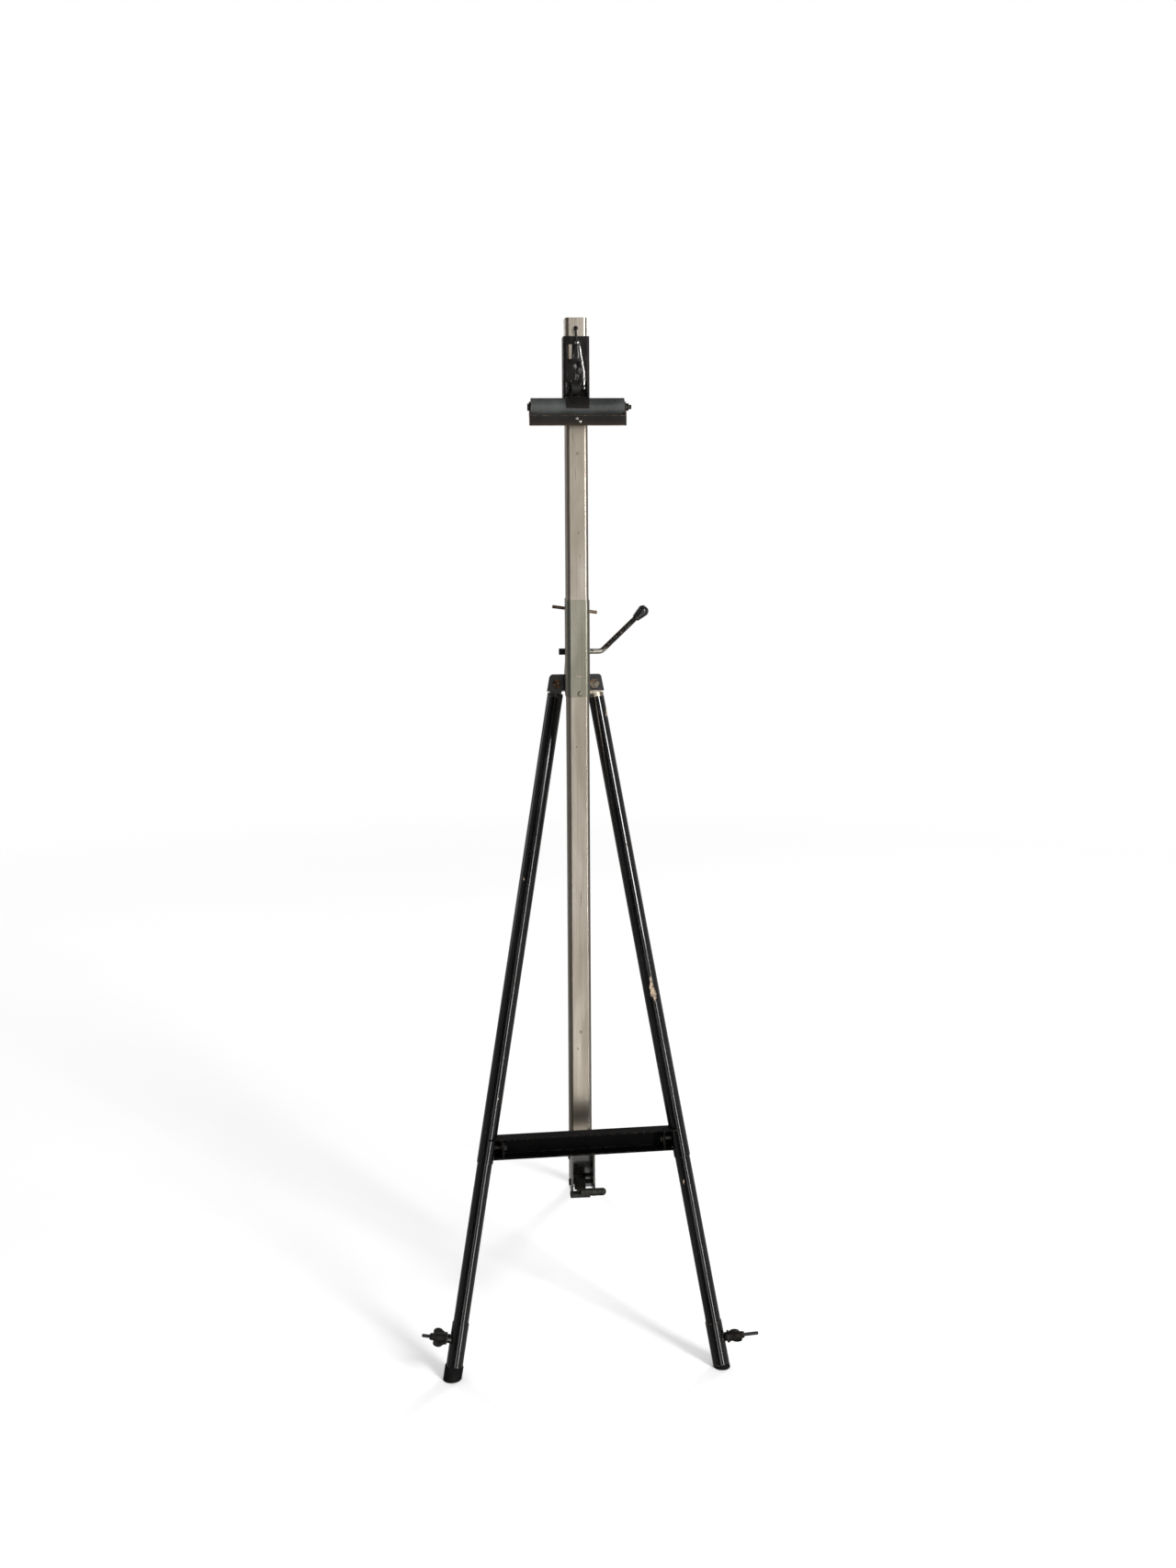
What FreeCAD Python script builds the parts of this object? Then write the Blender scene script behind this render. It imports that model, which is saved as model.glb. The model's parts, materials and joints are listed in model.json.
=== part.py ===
"""Studio easel: a square mast that slides in a clamping head carried on three legs.

Units are millimetres. +Z is up, +X is to the right of someone facing the easel, and -Y is the
side the picture hangs on. Shapes are worked out about the mast's axis (x = 0, y = 0, floor at
z = 0) and moved at the end, so that the origin is on the floor at the middle of the footprint.
"""
import FreeCAD, Part
import math
import os

V = FreeCAD.Vector

# ---- clearances -----------------------------------------------------------------------------
running_gap = 0.08      # round shaft in a round hole, radial
slide_gap = 0.3         # flat faces that slide on each other
side_gap = 0.4          # beside a piece that turns or slides in a slot
insert_gap = 0.05       # one fixed tube plugged into another, radial
cam_gap = 0.5           # between a clamp cam and the shoe that it pushes

# ---- mast -----------------------------------------------------------------------------------
mast_width = 33.5
mast_wall = 2.0
mast_corner = 6.0
mast_bottom = 226.0
mast_top = 1526.0
mast_plug_length = 20.0

# ---- head: the sleeve that the mast slides in, and its yoke ---------------------------------
head_bottom = 959.0
head_length = 145.0
head_wall = 1.0
yoke_plate = 3.0
yoke_inside = 26.0      # between the two ears
yoke_top_reach = 26.0   # ear depth behind the sleeve, above the step
yoke_low_reach = 46.0   # ear depth behind the sleeve, round the rear leg's pivot
yoke_step_height = 50.0  # height of the deep part of the ears
head_slot_width = 11.0
head_slot_height = 3.0
head_slot_rise = 29.0   # slot above the sleeve's lower end
head_rivet_rise = 5.0
head_marks_across = 2.4  # slot and rivet sit this far right of the middle
rivet_head_d = 7.0
rivet_head_height = 2.0

# ---- clamp lever on the head ----------------------------------------------------------------
clamp_axle_rise = 64.0  # axle above the sleeve's lower end
clamp_axle_behind = 14.0  # axle behind the sleeve's back face
lever_rod_d = 8.0
lever_side_reach = 39.0  # where the rod bends upwards
lever_arm = 72.0        # from the bend to the knob
lever_angle = 43.5      # slope of the arm
lever_bend = 11.0
cam_radius = 8.0
cam_offset = 1.2
cam_width = 16.0
lever_nut_length = 9.5
lever_nut_flats = 8.5
knob_length = 25.0
knob_radius = 8.7
knob_neck = 5.6
knob_grip = 10.0        # length of rod inside the knob
shoe_width = 18.0
shoe_height = 20.0

# ---- cross pin above the lever --------------------------------------------------------------
pin_rise = 128.0
pin_behind = 13.0
pin_d = 5.0
pin_left = 36.0
pin_right = 33.0
pin_tilt = 8.0          # the pin sits askew, its left end higher

# ---- leg frame ------------------------------------------------------------------------------
hinge_rise = 12.0       # leg hinge bolts above the sleeve's lower end
hinge_behind = 31.0     # hinge bolts behind the sleeve's back face
hinge_half_spacing = 28.5
foot_half_spacing = 194.0
foot_front = 130.0      # front feet in front of the mast's axis
bracket_plate = 3.0
bracket_outer = 43.5     # at the bracket's lower edge
bracket_taper = 4.5      # its upper edge is this much nearer the middle
bracket_above = 15.0
bracket_below = 10.0
bracket_corner = 5.0
tongue_thick = 12.0
tongue_width = 18.0
tongue_gap = 0.2
collar_start = 14.0     # along the leg, from the hinge bolt
collar_height = 6.0
hinge_bolt_d = 8.0
hinge_bolt_flats = 13.0
hinge_head_height = 5.0
leg_d = 24.0
leg_wall = 1.0
spigot_length = 25.0
lower_leg_wall = 1.2
leg_overlap = 50.0      # length of lower tube inside the upper one
leg_joint_height = 287.0  # height of the upper tube's lower end

# ---- feet -----------------------------------------------------------------------------------
sleeve_wall = 1.0
sleeve_length = 58.0
left_tip_length = 17.0  # rubber below the sleeve, along the leg
right_tip_length = 4.0  # this one is worn down to a stub
left_tip_flare = 1.2    # the rubber is this much wider than the sleeve, on the radius
right_tip_flare = 0.0
tip_spigot = 12.0
leg_end_gap = 4.0       # between the lower tube's end and the rubber's spigot
screw_rise = 35.0       # stud above the sleeve's lower end, along the leg
boss_d = 12.0
boss_reach = 16.0       # from the leg's axis to the boss's face
stud_d = 5.0
left_stud_tip = 52.5    # from the leg's axis to the stud's free end
right_stud_tip = 62.0
left_swivel = 3.0       # the foot is turned on its leg, so the stud points this far forwards
right_swivel = 18.0
stud_hidden = 2.0       # length of stud inside the boss
nut_length = 25.0
nut_base_d = 17.0
nut_end_d = 9.0
wing_span = 31.0
wing_thick = 4.0
wing_length = 17.0
wing_start = 4.25       # height of the wings' lower corners above the nut's base
left_wing_angle = 62.0
right_wing_angle = 12.0

# ---- crossbar -------------------------------------------------------------------------------
crossbar_height = 30.0
crossbar_depth = 22.0
crossbar_wall = 2.0
crossbar_corner = 2.6
crossbar_middle = 310.0  # height of its middle
crossbar_tilt = 1.2     # it is bolted slightly out of level, its left end lower
end_gap = 0.6           # between the channel's ends and the legs
end_plate = 3.0
end_plate_inset = 9.0   # plate's outer face to the leg's surface
end_bolt_d = 6.0
end_bolt_flats = 10.0
end_bolt_head = 4.0
end_bolt_grip = 6.0     # length of bolt inside the leg

# ---- lower guide and its clamp --------------------------------------------------------------
guide_width = 35.0
guide_wall = 2.5
guide_bottom = 222.0
guide_collar_bottom = 262.0
guide_collar_height = 30.0
guide_collar_wall = 2.0
guide_top_back = 304.0
guide_top_front = 318.0
guide_corner = 8.0
guide_corner_rise = 13.0
guide_gap = 0.4
guide_screw_offset = 9.0
guide_screw_height = 255.0
guide_screw_d = 5.5
pedal_axis_height = 235.0
pedal_axis_front = 14.5  # pedal pin in front of the mast's front face
pedal_pin_d = 6.0
pedal_pin_head = 2.0
pedal_cam_radius = 12.0
pedal_cam_width = 16.0
pedal_cam_shift = -3.0
pedal_handle_gap = 1.7  # between the handle and the guide's front edges
pedal_arm_width = 12.0
pedal_handle_d = 10.5
pedal_handle_left = 4.0
pedal_handle_right = 33.0
pedal_plate_left = 20.0
pedal_plate_right = 9.0
pedal_plate_thick = 5.0
pedal_plate_depth = 13.0

# ---- rear leg -------------------------------------------------------------------------------
rear_pivot_rise = 16.0
rear_pivot_behind = 29.0
rear_pin_d = 8.0
rear_leg_d = 22.0
rear_leg_wall = 1.2
rear_foot_y = 530.0     # rear foot behind the mast's axis
rear_foot_x = 37.0      # and to the right of it: the leg leans sideways in its block
rear_block_down = 18.0
rear_block_depth = 24.0
rear_tip_d = 26.0
rear_tip_length = 30.0
rear_tip_floor = 8.0    # rubber below the tube's end

# ---- carriage on the upper mast -------------------------------------------------------------
carriage_bottom = 1385.0
carriage_length = 113.0
carriage_wall = 2.0
carriage_gap = 0.9
carriage_corner = 4.0
panel_top = 10.0        # depth of the band above the sunk panel in the carriage's front
panel_depth = 0.9
slit_left = 13.0        # narrow opening in the panel, left of the middle
slit_right = 6.5
slit_drop = 2.0         # below the panel's top edge
slit_height = 22.0
glide_thick = 0.5
glide_width = 20.0
glide_height = 8.0
glide_inset = 1.0
carriage_pin_front = 12.0
carriage_pin_d = 5.0
ear_plate = 2.5
ear_inside = 28.0
ear_height = 25.0
ear_reach = 19.0
ear_clear = 0.5         # between the bar's strap and the ears
latch_cam_radius = 12.0
latch_cam_width = 12.0
latch_cam_shift = -2.0
latch_rod_d = 4.4
latch_eye_d = 6.8
latch_bend = 7.0
latch_knee_rise = 24.0  # from the cam's shaft to where the wire turns to the middle
latch_stand_off = 2.0   # between the wire and the carriage
shaft_end = 1.0         # cam's shaft outside each ear
grip_stand_off = 1.5    # between the wire and the grip
grip_drop = 16.0        # grip's top below the carriage's top
grip_length = 24.0
grip_radius = 6.2
grip_neck = 2.4
latch_tip_d = 3.2
latch_tip_length = 26.0
latch_tip_lean = 2.0    # the tip's ball is this far to the left
latch_tip_socket = 4.0  # length of tip inside the grip
latch_ball_d = 7.0

# ---- bar that holds the picture's top edge --------------------------------------------------
bar_d = 27.0
bar_wall = 1.5
bar_half_length = 69.4
bar_axis_rise = 6.5     # bar's axis above the carriage's lower end
bar_stand_off = 0.3
bar_plug_depth = 14.0
bar_axle_d = 6.0
strap_thick = 2.0
strap_half_width = 17.0
strap_front_drop = 2.5  # strap ends this far below the bar's axis
lip_thick = 2.5
lip_lug = 2.0
lip_height = 15.0
lip_fold = 4.0
lip_rise = 0.6          # lip's top edge above the bar's underside
lug_radius = 8.0
lip_screw_d = 4.5
lip_screw_height = 1.2
lip_screws_across = (-1.5, 3.0)
lip_screws_down = (4.5, 9.3)  # below the lip's top edge
axle_head_d = 11.0
axle_head_length = 4.0
axle_stub_d = 6.5
axle_stub_length = 4.0

nodes = {}


# ---- small helpers --------------------------------------------------------------------------
def block(low, high):
    """A box between two opposite corners."""
    size = [high[i] - low[i] for i in range(3)]
    return Part.makeBox(size[0], size[1], size[2], V(*low))


def rod(start, end, radius):
    """A round bar between two points."""
    along = end - start
    return Part.makeCylinder(radius, along.Length, start, along)


def tube(start, end, outer, inner):
    """A round tube between two points."""
    return rod(start, end, outer).cut(rod(start, end, inner))


def x_rod(x0, x1, y, z, radius):
    """A round bar along X."""
    return rod(V(x0, y, z), V(x1, y, z), radius)


def rounded_square(width, corner, z0, z1):
    """A square bar about the mast's axis with round vertical corners."""
    half = width / 2
    bar = block((-half, -half, z0), (half, half, z1))
    upright = [e for e in bar.Edges if abs(e.Length - (z1 - z0)) < 1e-6]
    return bar.makeFillet(corner, upright)


def square_tube(width, wall, corner, z0, z1):
    """A square tube about the mast's axis, its inner corners following the outer ones."""
    inner = rounded_square(width - 2 * wall, max(corner - wall, wall / 2), z0, z1)
    return rounded_square(width, corner, z0, z1).cut(inner)


def prism_x(outline, x0, x1):
    """An outline of (y, z) points, drawn at x0 and carried to x1."""
    points = [V(x0, y, z) for y, z in outline]
    face = Part.Face(Part.makePolygon(points + [points[0]]))
    return face.extrude(V(x1 - x0, 0, 0))


def hexagon(start, axis, flats, length):
    """A hexagonal prism that starts at a point and runs along an axis."""
    radius = flats / math.sqrt(3)
    corners = []
    for i in range(6):
        turn = math.radians(60 * i)
        corners.append(V(radius * math.cos(turn), radius * math.sin(turn), 0))
    solid = Part.Face(Part.makePolygon(corners + [corners[0]])).extrude(V(0, 0, length))
    solid.Placement = FreeCAD.Placement(start, FreeCAD.Rotation(V(0, 0, 1), axis))
    return solid


def bent_rod(corners, radius, bend):
    """A round bar that follows straight runs joined by tangent arcs."""
    edges = []
    start = corners[0]
    for before, corner, after in zip(corners, corners[1:], corners[2:]):
        back = (before - corner).normalize()
        ahead = (after - corner).normalize()
        turn = math.pi - back.getAngle(ahead)
        reach = bend * math.tan(turn / 2)
        middle = (back + ahead).normalize() * (bend / math.cos(turn / 2) - bend)
        arc_start = corner + back * reach
        arc_end = corner + ahead * reach
        edges.append(Part.LineSegment(start, arc_start).toShape())
        edges.append(Part.Arc(arc_start, corner + middle, arc_end).toShape())
        start = arc_end
    edges.append(Part.LineSegment(start, corners[-1]).toShape())
    ring = Part.Wire(Part.makeCircle(radius, corners[0], corners[1] - corners[0]))
    return Part.Wire(edges).makePipeShell([ring], True, False)


def teardrop(neck_point, direction, length, radius, neck_radius):
    """A knob: a ball drawn out to a narrow neck, starting at the neck."""
    ball = length - radius
    slope = math.asin(radius / math.hypot(neck_radius, ball)) - math.atan2(neck_radius, ball)
    touch = V(radius * math.cos(slope), 0, ball - radius * math.sin(slope))
    side = V(radius * math.cos(math.pi / 8), 0, ball + radius * math.sin(math.pi / 8))
    tip = V(0, 0, length)
    neck = V(neck_radius, 0, 0)
    edges = [
        Part.LineSegment(V(0, 0, 0), neck).toShape(),
        Part.LineSegment(neck, touch).toShape(),
        Part.Arc(touch, side, tip).toShape(),
        Part.LineSegment(tip, V(0, 0, 0)).toShape(),
    ]
    knob = Part.Face(Part.Wire(edges)).revolve(V(0, 0, 0), V(0, 0, 1), 360)
    knob.Placement = FreeCAD.Placement(neck_point, FreeCAD.Rotation(V(0, 0, 1), direction))
    return knob


def add(name, *solids):
    """Keep one node: one solid, or a group of separate solids."""
    nodes[name] = solids[0] if len(solids) == 1 else Part.makeCompound(list(solids))


# ---- derived places -------------------------------------------------------------------------
mast_half = mast_width / 2
head_inside = mast_width + 2 * slide_gap
head_half = head_inside / 2 + head_wall
head_top = head_bottom + head_length
head_corner = mast_corner + slide_gap + head_wall
ear_inner = yoke_inside / 2
ear_outer = ear_inner + yoke_plate

clamp_axle = V(0, head_half + clamp_axle_behind, head_bottom + clamp_axle_rise)
pin_centre = V(0, head_half + pin_behind, head_bottom + pin_rise)
rear_pivot = V(0, head_half + rear_pivot_behind, head_bottom + rear_pivot_rise)
hinge_y = head_half + hinge_behind
hinge_z = head_bottom + hinge_rise
lean = math.atan2(hinge_y + foot_front, hinge_z)

carriage_half = mast_half + carriage_gap + carriage_wall
carriage_front = -carriage_half
carriage_top = carriage_bottom + carriage_length
bar_axis = V(0, carriage_front - bar_stand_off - bar_d / 2, carriage_bottom + bar_axis_rise)
ear_bottom = bar_axis.z + bar_d / 2 + strap_thick + ear_clear
carriage_pin = V(0, carriage_front - carriage_pin_front, ear_bottom + ear_height / 2)

crossbar_leg_y = hinge_y - (hinge_z - crossbar_middle) * math.tan(lean)
crossbar_back = crossbar_leg_y + crossbar_depth / 2
guide_web_back = -mast_half - guide_gap
pedal_axis = V(0, -mast_half - pedal_axis_front, pedal_axis_height)
SIDES = {"left": -1, "right": 1}
tip_lengths = {-1: left_tip_length, 1: right_tip_length}
tip_flares = {-1: left_tip_flare, 1: right_tip_flare}
stud_tips = {-1: left_stud_tip, 1: right_stud_tip}
swivels = {-1: left_swivel, 1: right_swivel}
wing_angles = {-1: left_wing_angle, 1: right_wing_angle}


def leg_hinge(side):
    """Centre of a leg's hinge bolt."""
    return V(side * hinge_half_spacing, hinge_y, hinge_z)


def leg_foot(side):
    """Where a leg's axis meets the floor."""
    return V(side * foot_half_spacing, -foot_front, 0)


def leg_direction(side):
    return (leg_foot(side) - leg_hinge(side)).normalize()


def leg_point(side, distance):
    """A point on the leg's axis, this far from the hinge bolt."""
    return leg_hinge(side) + leg_direction(side) * distance


def leg_at_height(side, height):
    """A point on the leg's axis at this height."""
    return leg_point(side, (height - hinge_z) / leg_direction(side).z)


leg_length = (leg_foot(1) - leg_hinge(1)).Length
lower_leg_d = leg_d - 2 * leg_wall - 2 * insert_gap
sleeve_inner_r = lower_leg_d / 2 + running_gap
sleeve_outer_r = sleeve_inner_r + sleeve_wall


def screw_centre(side):
    """Where the foot's stud points from, on the leg's axis."""
    return leg_point(side, leg_length - tip_lengths[side] - screw_rise)


def screw_direction(side):
    """Square to the leg: outwards, turned forwards by the foot's swivel."""
    leg = leg_direction(side)
    outwards = V(side, 0, 0) - leg * (side * leg.x)
    outwards.normalize()
    forwards = leg.cross(outwards)
    if forwards.y > 0:
        forwards = forwards * -1
    turn = math.radians(swivels[side])
    return outwards * math.cos(turn) + forwards * math.sin(turn)


def in_leg_plane(shape):
    """Move a shape drawn upright about the hinge line into the leaning plane of the front legs."""
    leaned = shape.copy()
    leaned.rotate(V(0, 0, 0), V(1, 0, 0), -math.degrees(lean))
    leaned.translate(V(0, hinge_y, hinge_z))
    return leaned


# ---- mast -----------------------------------------------------------------------------------
def make_mast():
    add("mast_tube", square_tube(mast_width, mast_wall, mast_corner, mast_bottom, mast_top))
    plug_width = mast_width - 2 * mast_wall - 2 * insert_gap
    plug_corner = mast_corner - mast_wall
    top_plug = rounded_square(plug_width, plug_corner, mast_top - mast_plug_length, mast_top)
    foot_plug = rounded_square(plug_width, plug_corner, mast_bottom, mast_bottom + mast_plug_length)
    top_rim = [e for e in top_plug.Edges if e.BoundBox.ZMin > mast_top - 1e-3]
    add("mast_cap", top_plug.makeChamfer(mast_wall / 2, top_rim))
    add("mast_foot_plug", foot_plug)


# ---- head -----------------------------------------------------------------------------------
def shoe_window(front, back):
    """The hole through the sleeve's back that the brake shoe works in."""
    half = shoe_width / 2 + side_gap
    reach = shoe_height / 2 + side_gap
    return block((-half, front, clamp_axle.z - reach), (half, back, clamp_axle.z + reach))


def make_head():
    sleeve = square_tube(2 * head_half, head_wall, head_corner, head_bottom, head_top)
    sleeve = sleeve.cut(shoe_window(0, head_half + 1))
    slot_z = head_bottom + head_slot_rise
    slot_half = head_slot_width / 2
    slot = block((-slot_half, -head_half - 1, slot_z), (slot_half, 0, slot_z + head_slot_height))
    slot.translate(V(head_marks_across, 0, 0))
    rivet_z = head_bottom + head_rivet_rise
    shank_r = rivet_head_d / 4
    face = V(head_marks_across, -head_half, rivet_z)
    shank_end = face + V(0, head_wall, 0)
    sleeve = sleeve.cut(slot).cut(rod(face, shank_end, shank_r))
    add("head_sleeve", sleeve)

    head = rod(face - V(0, rivet_head_height, 0), face, rivet_head_d / 2)
    outer_rim = [e for e in head.Edges if e.BoundBox.YMax < face.y - rivet_head_height / 2]
    head = head.makeFillet(rivet_head_height * 0.7, outer_rim)
    add("head_rivet", head.fuse(rod(face, shank_end, shank_r)).removeSplitter())

    deep = head_half + yoke_low_reach
    shallow = head_half + yoke_top_reach
    step = head_bottom + yoke_step_height
    outline = [
        (head_half, head_bottom), (deep, head_bottom), (deep, step - (deep - shallow)),
        (shallow, step), (shallow, head_top), (head_half, head_top),
    ]
    web_back = head_half + yoke_plate
    yoke = block((-ear_outer, head_half, head_bottom), (ear_outer, web_back, head_top))
    for side in SIDES.values():
        near, far = sorted((side * ear_inner, side * ear_outer))
        yoke = yoke.fuse(prism_x(outline, near, far))
    yoke = yoke.removeSplitter().cut(shoe_window(0, web_back + 1))
    span = ear_outer + 1
    axle_hole = lever_rod_d / 2 + running_gap
    yoke = yoke.cut(x_rod(-span, span, clamp_axle.y, clamp_axle.z, axle_hole))
    yoke = yoke.cut(x_rod(-span, span, rear_pivot.y, rear_pivot.z, rear_pin_d / 2))
    add("head_yoke", yoke.cut(cross_pin()))
    add("cross_pin", cross_pin())
    add("rear_pivot_pin", x_rod(-ear_outer, ear_outer, rear_pivot.y, rear_pivot.z, rear_pin_d / 2))


def cross_pin():
    """The loose-looking pin across the yoke."""
    tilt = math.radians(pin_tilt)
    along = V(math.cos(tilt), 0, -math.sin(tilt))
    return rod(pin_centre - along * pin_left, pin_centre + along * pin_right, pin_d / 2)


def make_clamp_lever():
    """Bent rod that is both axle and handle, its cam, its end nut and its knob."""
    rise = math.radians(lever_angle)
    along = V(math.cos(rise), 0, math.sin(rise))
    bend_point = clamp_axle + V(lever_side_reach, 0, 0)
    rod_start = clamp_axle - V(ear_outer + side_gap, 0, 0)
    knob_start = bend_point + along * lever_arm
    rod_end = knob_start + along * knob_grip
    handle = bent_rod([rod_start, bend_point, rod_end], lever_rod_d / 2, lever_bend)
    add("clamp_lever_rod", handle)
    knob = teardrop(knob_start, along, knob_length, knob_radius, knob_neck)
    add("clamp_lever_knob", knob.cut(rod(knob_start, rod_end, lever_rod_d / 2)))

    eccentric = x_rod(-cam_width / 2, cam_width / 2, clamp_axle.y - cam_offset, clamp_axle.z,
                      cam_radius)
    bore = x_rod(-cam_width, cam_width, clamp_axle.y, clamp_axle.z, lever_rod_d / 2)
    add("clamp_cam", eccentric.cut(bore))
    nut_start = rod_start - V(lever_nut_length, 0, 0)
    add("clamp_lever_nut", hexagon(nut_start, V(1, 0, 0), lever_nut_flats, lever_nut_length))

    shoe_front = mast_half + slide_gap
    shoe_back = clamp_axle.y - cam_radius - cam_offset - cam_gap
    low = (-shoe_width / 2, shoe_front, clamp_axle.z - shoe_height / 2)
    high = (shoe_width / 2, shoe_back, clamp_axle.z + shoe_height / 2)
    add("brake_shoe", block(low, high))


# ---- front legs -----------------------------------------------------------------------------
def make_leg_bracket(name, side):
    """Two plates either side of the leg's tongue, joined by a plate on the yoke's ear."""
    plate_inner = tongue_thick / 2 + tongue_gap
    plate_outer = plate_inner + bracket_plate
    top_outer = bracket_outer - bracket_taper
    outline = [
        (ear_outer, -bracket_below), (bracket_outer, -bracket_below),
        (top_outer, bracket_above), (ear_outer, bracket_above),
    ]
    cheeks = []
    for start in (-plate_outer, plate_inner):
        corners = [V(side * x, start, z) for x, z in outline]
        face = Part.Face(Part.makePolygon(corners + [corners[0]]))
        cheek = face.extrude(V(0, bracket_plate, 0))
        corner = [
            e for e in cheek.Edges
            if abs(e.BoundBox.ZMin - bracket_above) < 1e-3
            and abs(e.BoundBox.XMin - side * top_outer) < 1e-3
            and e.BoundBox.XMax - e.BoundBox.XMin < 1e-3
        ]
        cheeks.append(cheek.makeFillet(bracket_corner, corner))
    near, far = sorted((side * ear_outer, side * (ear_outer + bracket_plate)))
    side_plate = block((near, -plate_outer, -bracket_below), (far, plate_outer, bracket_above))
    bracket = side_plate.fuse(cheeks).removeSplitter()
    hole = rod(V(side * hinge_half_spacing, -leg_d, 0), V(side * hinge_half_spacing, leg_d, 0),
               hinge_bolt_d / 2)
    add(name + "_leg_bracket", in_leg_plane(bracket.cut(hole)))


def make_leg_fitting(name, side):
    """Plug in the top of the leg: tongue for the hinge bolt, collar and spigot."""
    half = tongue_width / 2
    tongue = block((-half, -tongue_thick / 2, -collar_start), (half, tongue_thick / 2, 0))
    tongue = tongue.fuse(rod(V(0, -tongue_thick / 2, 0), V(0, tongue_thick / 2, 0), half))
    tongue = tongue.removeSplitter().cut(rod(V(0, -leg_d, 0), V(0, leg_d, 0), hinge_bolt_d / 2))
    collar_end = collar_start + collar_height
    spigot_end = collar_end + spigot_length
    collar = rod(V(0, 0, -collar_end), V(0, 0, -collar_start), leg_d / 2)
    spigot_r = leg_d / 2 - leg_wall - insert_gap
    spigot = rod(V(0, 0, -spigot_end), V(0, 0, -collar_end), spigot_r)
    fitting = tongue.fuse([collar, spigot]).removeSplitter()
    splay = math.atan2(foot_half_spacing - hinge_half_spacing, hinge_z / math.cos(lean))
    fitting.rotate(V(0, 0, 0), V(0, 1, 0), -side * math.degrees(splay))
    fitting.translate(V(side * hinge_half_spacing, 0, 0))
    add(name + "_leg_fitting", in_leg_plane(fitting))


def hinge_bolt(side):
    """Bolt with its head in front, across the bracket and the tongue."""
    reach = tongue_thick / 2 + tongue_gap + bracket_plate
    x = side * hinge_half_spacing
    shank = rod(V(x, -reach, 0), V(x, reach + hinge_head_height, 0), hinge_bolt_d / 2)
    head_start = V(x, -reach - hinge_head_height, 0)
    head = hexagon(head_start, V(0, 1, 0), hinge_bolt_flats, hinge_head_height)
    return in_leg_plane(shank.fuse(head))


def hinge_nut(side):
    """Nut behind the bracket."""
    reach = tongue_thick / 2 + tongue_gap + bracket_plate
    start = V(side * hinge_half_spacing, reach, 0)
    nut = hexagon(start, V(0, 1, 0), hinge_bolt_flats, hinge_head_height)
    hole = rod(start, start + V(0, hinge_head_height, 0), hinge_bolt_d / 2)
    return in_leg_plane(nut.cut(hole))


def tilted(shape):
    """Turn a level shape to the crossbar's slope."""
    turned = shape.copy()
    turned.rotate(V(0, 0, crossbar_middle), V(0, 1, 0), -crossbar_tilt)
    return turned


def crossbar_point(x):
    """A point on the crossbar's middle line, in line with the legs' axes."""
    slope = math.radians(crossbar_tilt)
    rise = crossbar_middle + x * math.sin(slope)
    return V(x * math.cos(slope), crossbar_leg_y, rise)


def end_bolt(side):
    """Hexagon bolt from the end plate's inner face into the leg."""
    surface = leg_at_height(1, crossbar_middle).x - leg_d / 2
    start = crossbar_point(side * (surface - end_plate_inset - end_plate))
    end = crossbar_point(side * (surface + end_bolt_grip))
    outward = (end - start).normalize()
    head = hexagon(start - outward * end_bolt_head, outward, end_bolt_flats, end_bolt_head)
    return rod(start, end, end_bolt_d / 2).fuse(head)


def make_leg_tubes(name, side):
    """Upper tube from the collar to below the crossbar, and the lower tube plugged into it."""
    upper_start = leg_point(side, collar_start + collar_height)
    joint = leg_at_height(side, leg_joint_height)
    upper = tube(upper_start, joint, leg_d / 2, leg_d / 2 - leg_wall)
    add(name + "_upper_leg", upper.cut(end_bolt(side)))

    lower_start = joint - leg_direction(side) * leg_overlap
    plugged = tip_lengths[side] + tip_spigot + leg_end_gap
    lower_end = leg_point(side, leg_length - plugged)
    lower = tube(lower_start, lower_end, lower_leg_d / 2, lower_leg_d / 2 - lower_leg_wall)
    add(name + "_lower_leg", lower.cut(end_bolt(side)))


# ---- feet -----------------------------------------------------------------------------------
def make_foot(name, side):
    """Sleeve that slides on the leg, its rubber tip, and its screw and wing nut."""
    sleeve_end = leg_length - tip_lengths[side]
    top = leg_point(side, sleeve_end - sleeve_length)
    bottom = leg_point(side, sleeve_end)
    centre = screw_centre(side)
    along = screw_direction(side)
    boss_end = centre + along * boss_reach
    stud = rod(boss_end - along * stud_hidden, centre + along * stud_tips[side], stud_d / 2)
    sleeve = rod(top, bottom, sleeve_outer_r).fuse(rod(centre, boss_end, boss_d / 2))
    sleeve = sleeve.cut(rod(top, bottom, sleeve_inner_r)).cut(stud)
    add(name + "_foot_sleeve", sleeve)
    add(name + "_foot_stud", stud)

    beyond = leg_point(side, leg_length + leg_d)
    tip = rod(bottom, beyond, sleeve_outer_r + tip_flares[side])
    tip = tip.fuse(rod(leg_point(side, sleeve_end - tip_spigot), bottom, sleeve_inner_r))
    floor = Part.makeBox(4 * leg_d, 4 * leg_d, 4 * leg_d,
                         leg_foot(side) - V(2 * leg_d, 2 * leg_d, 4 * leg_d))
    add(name + "_foot_tip", tip.removeSplitter().cut(floor))


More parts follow.
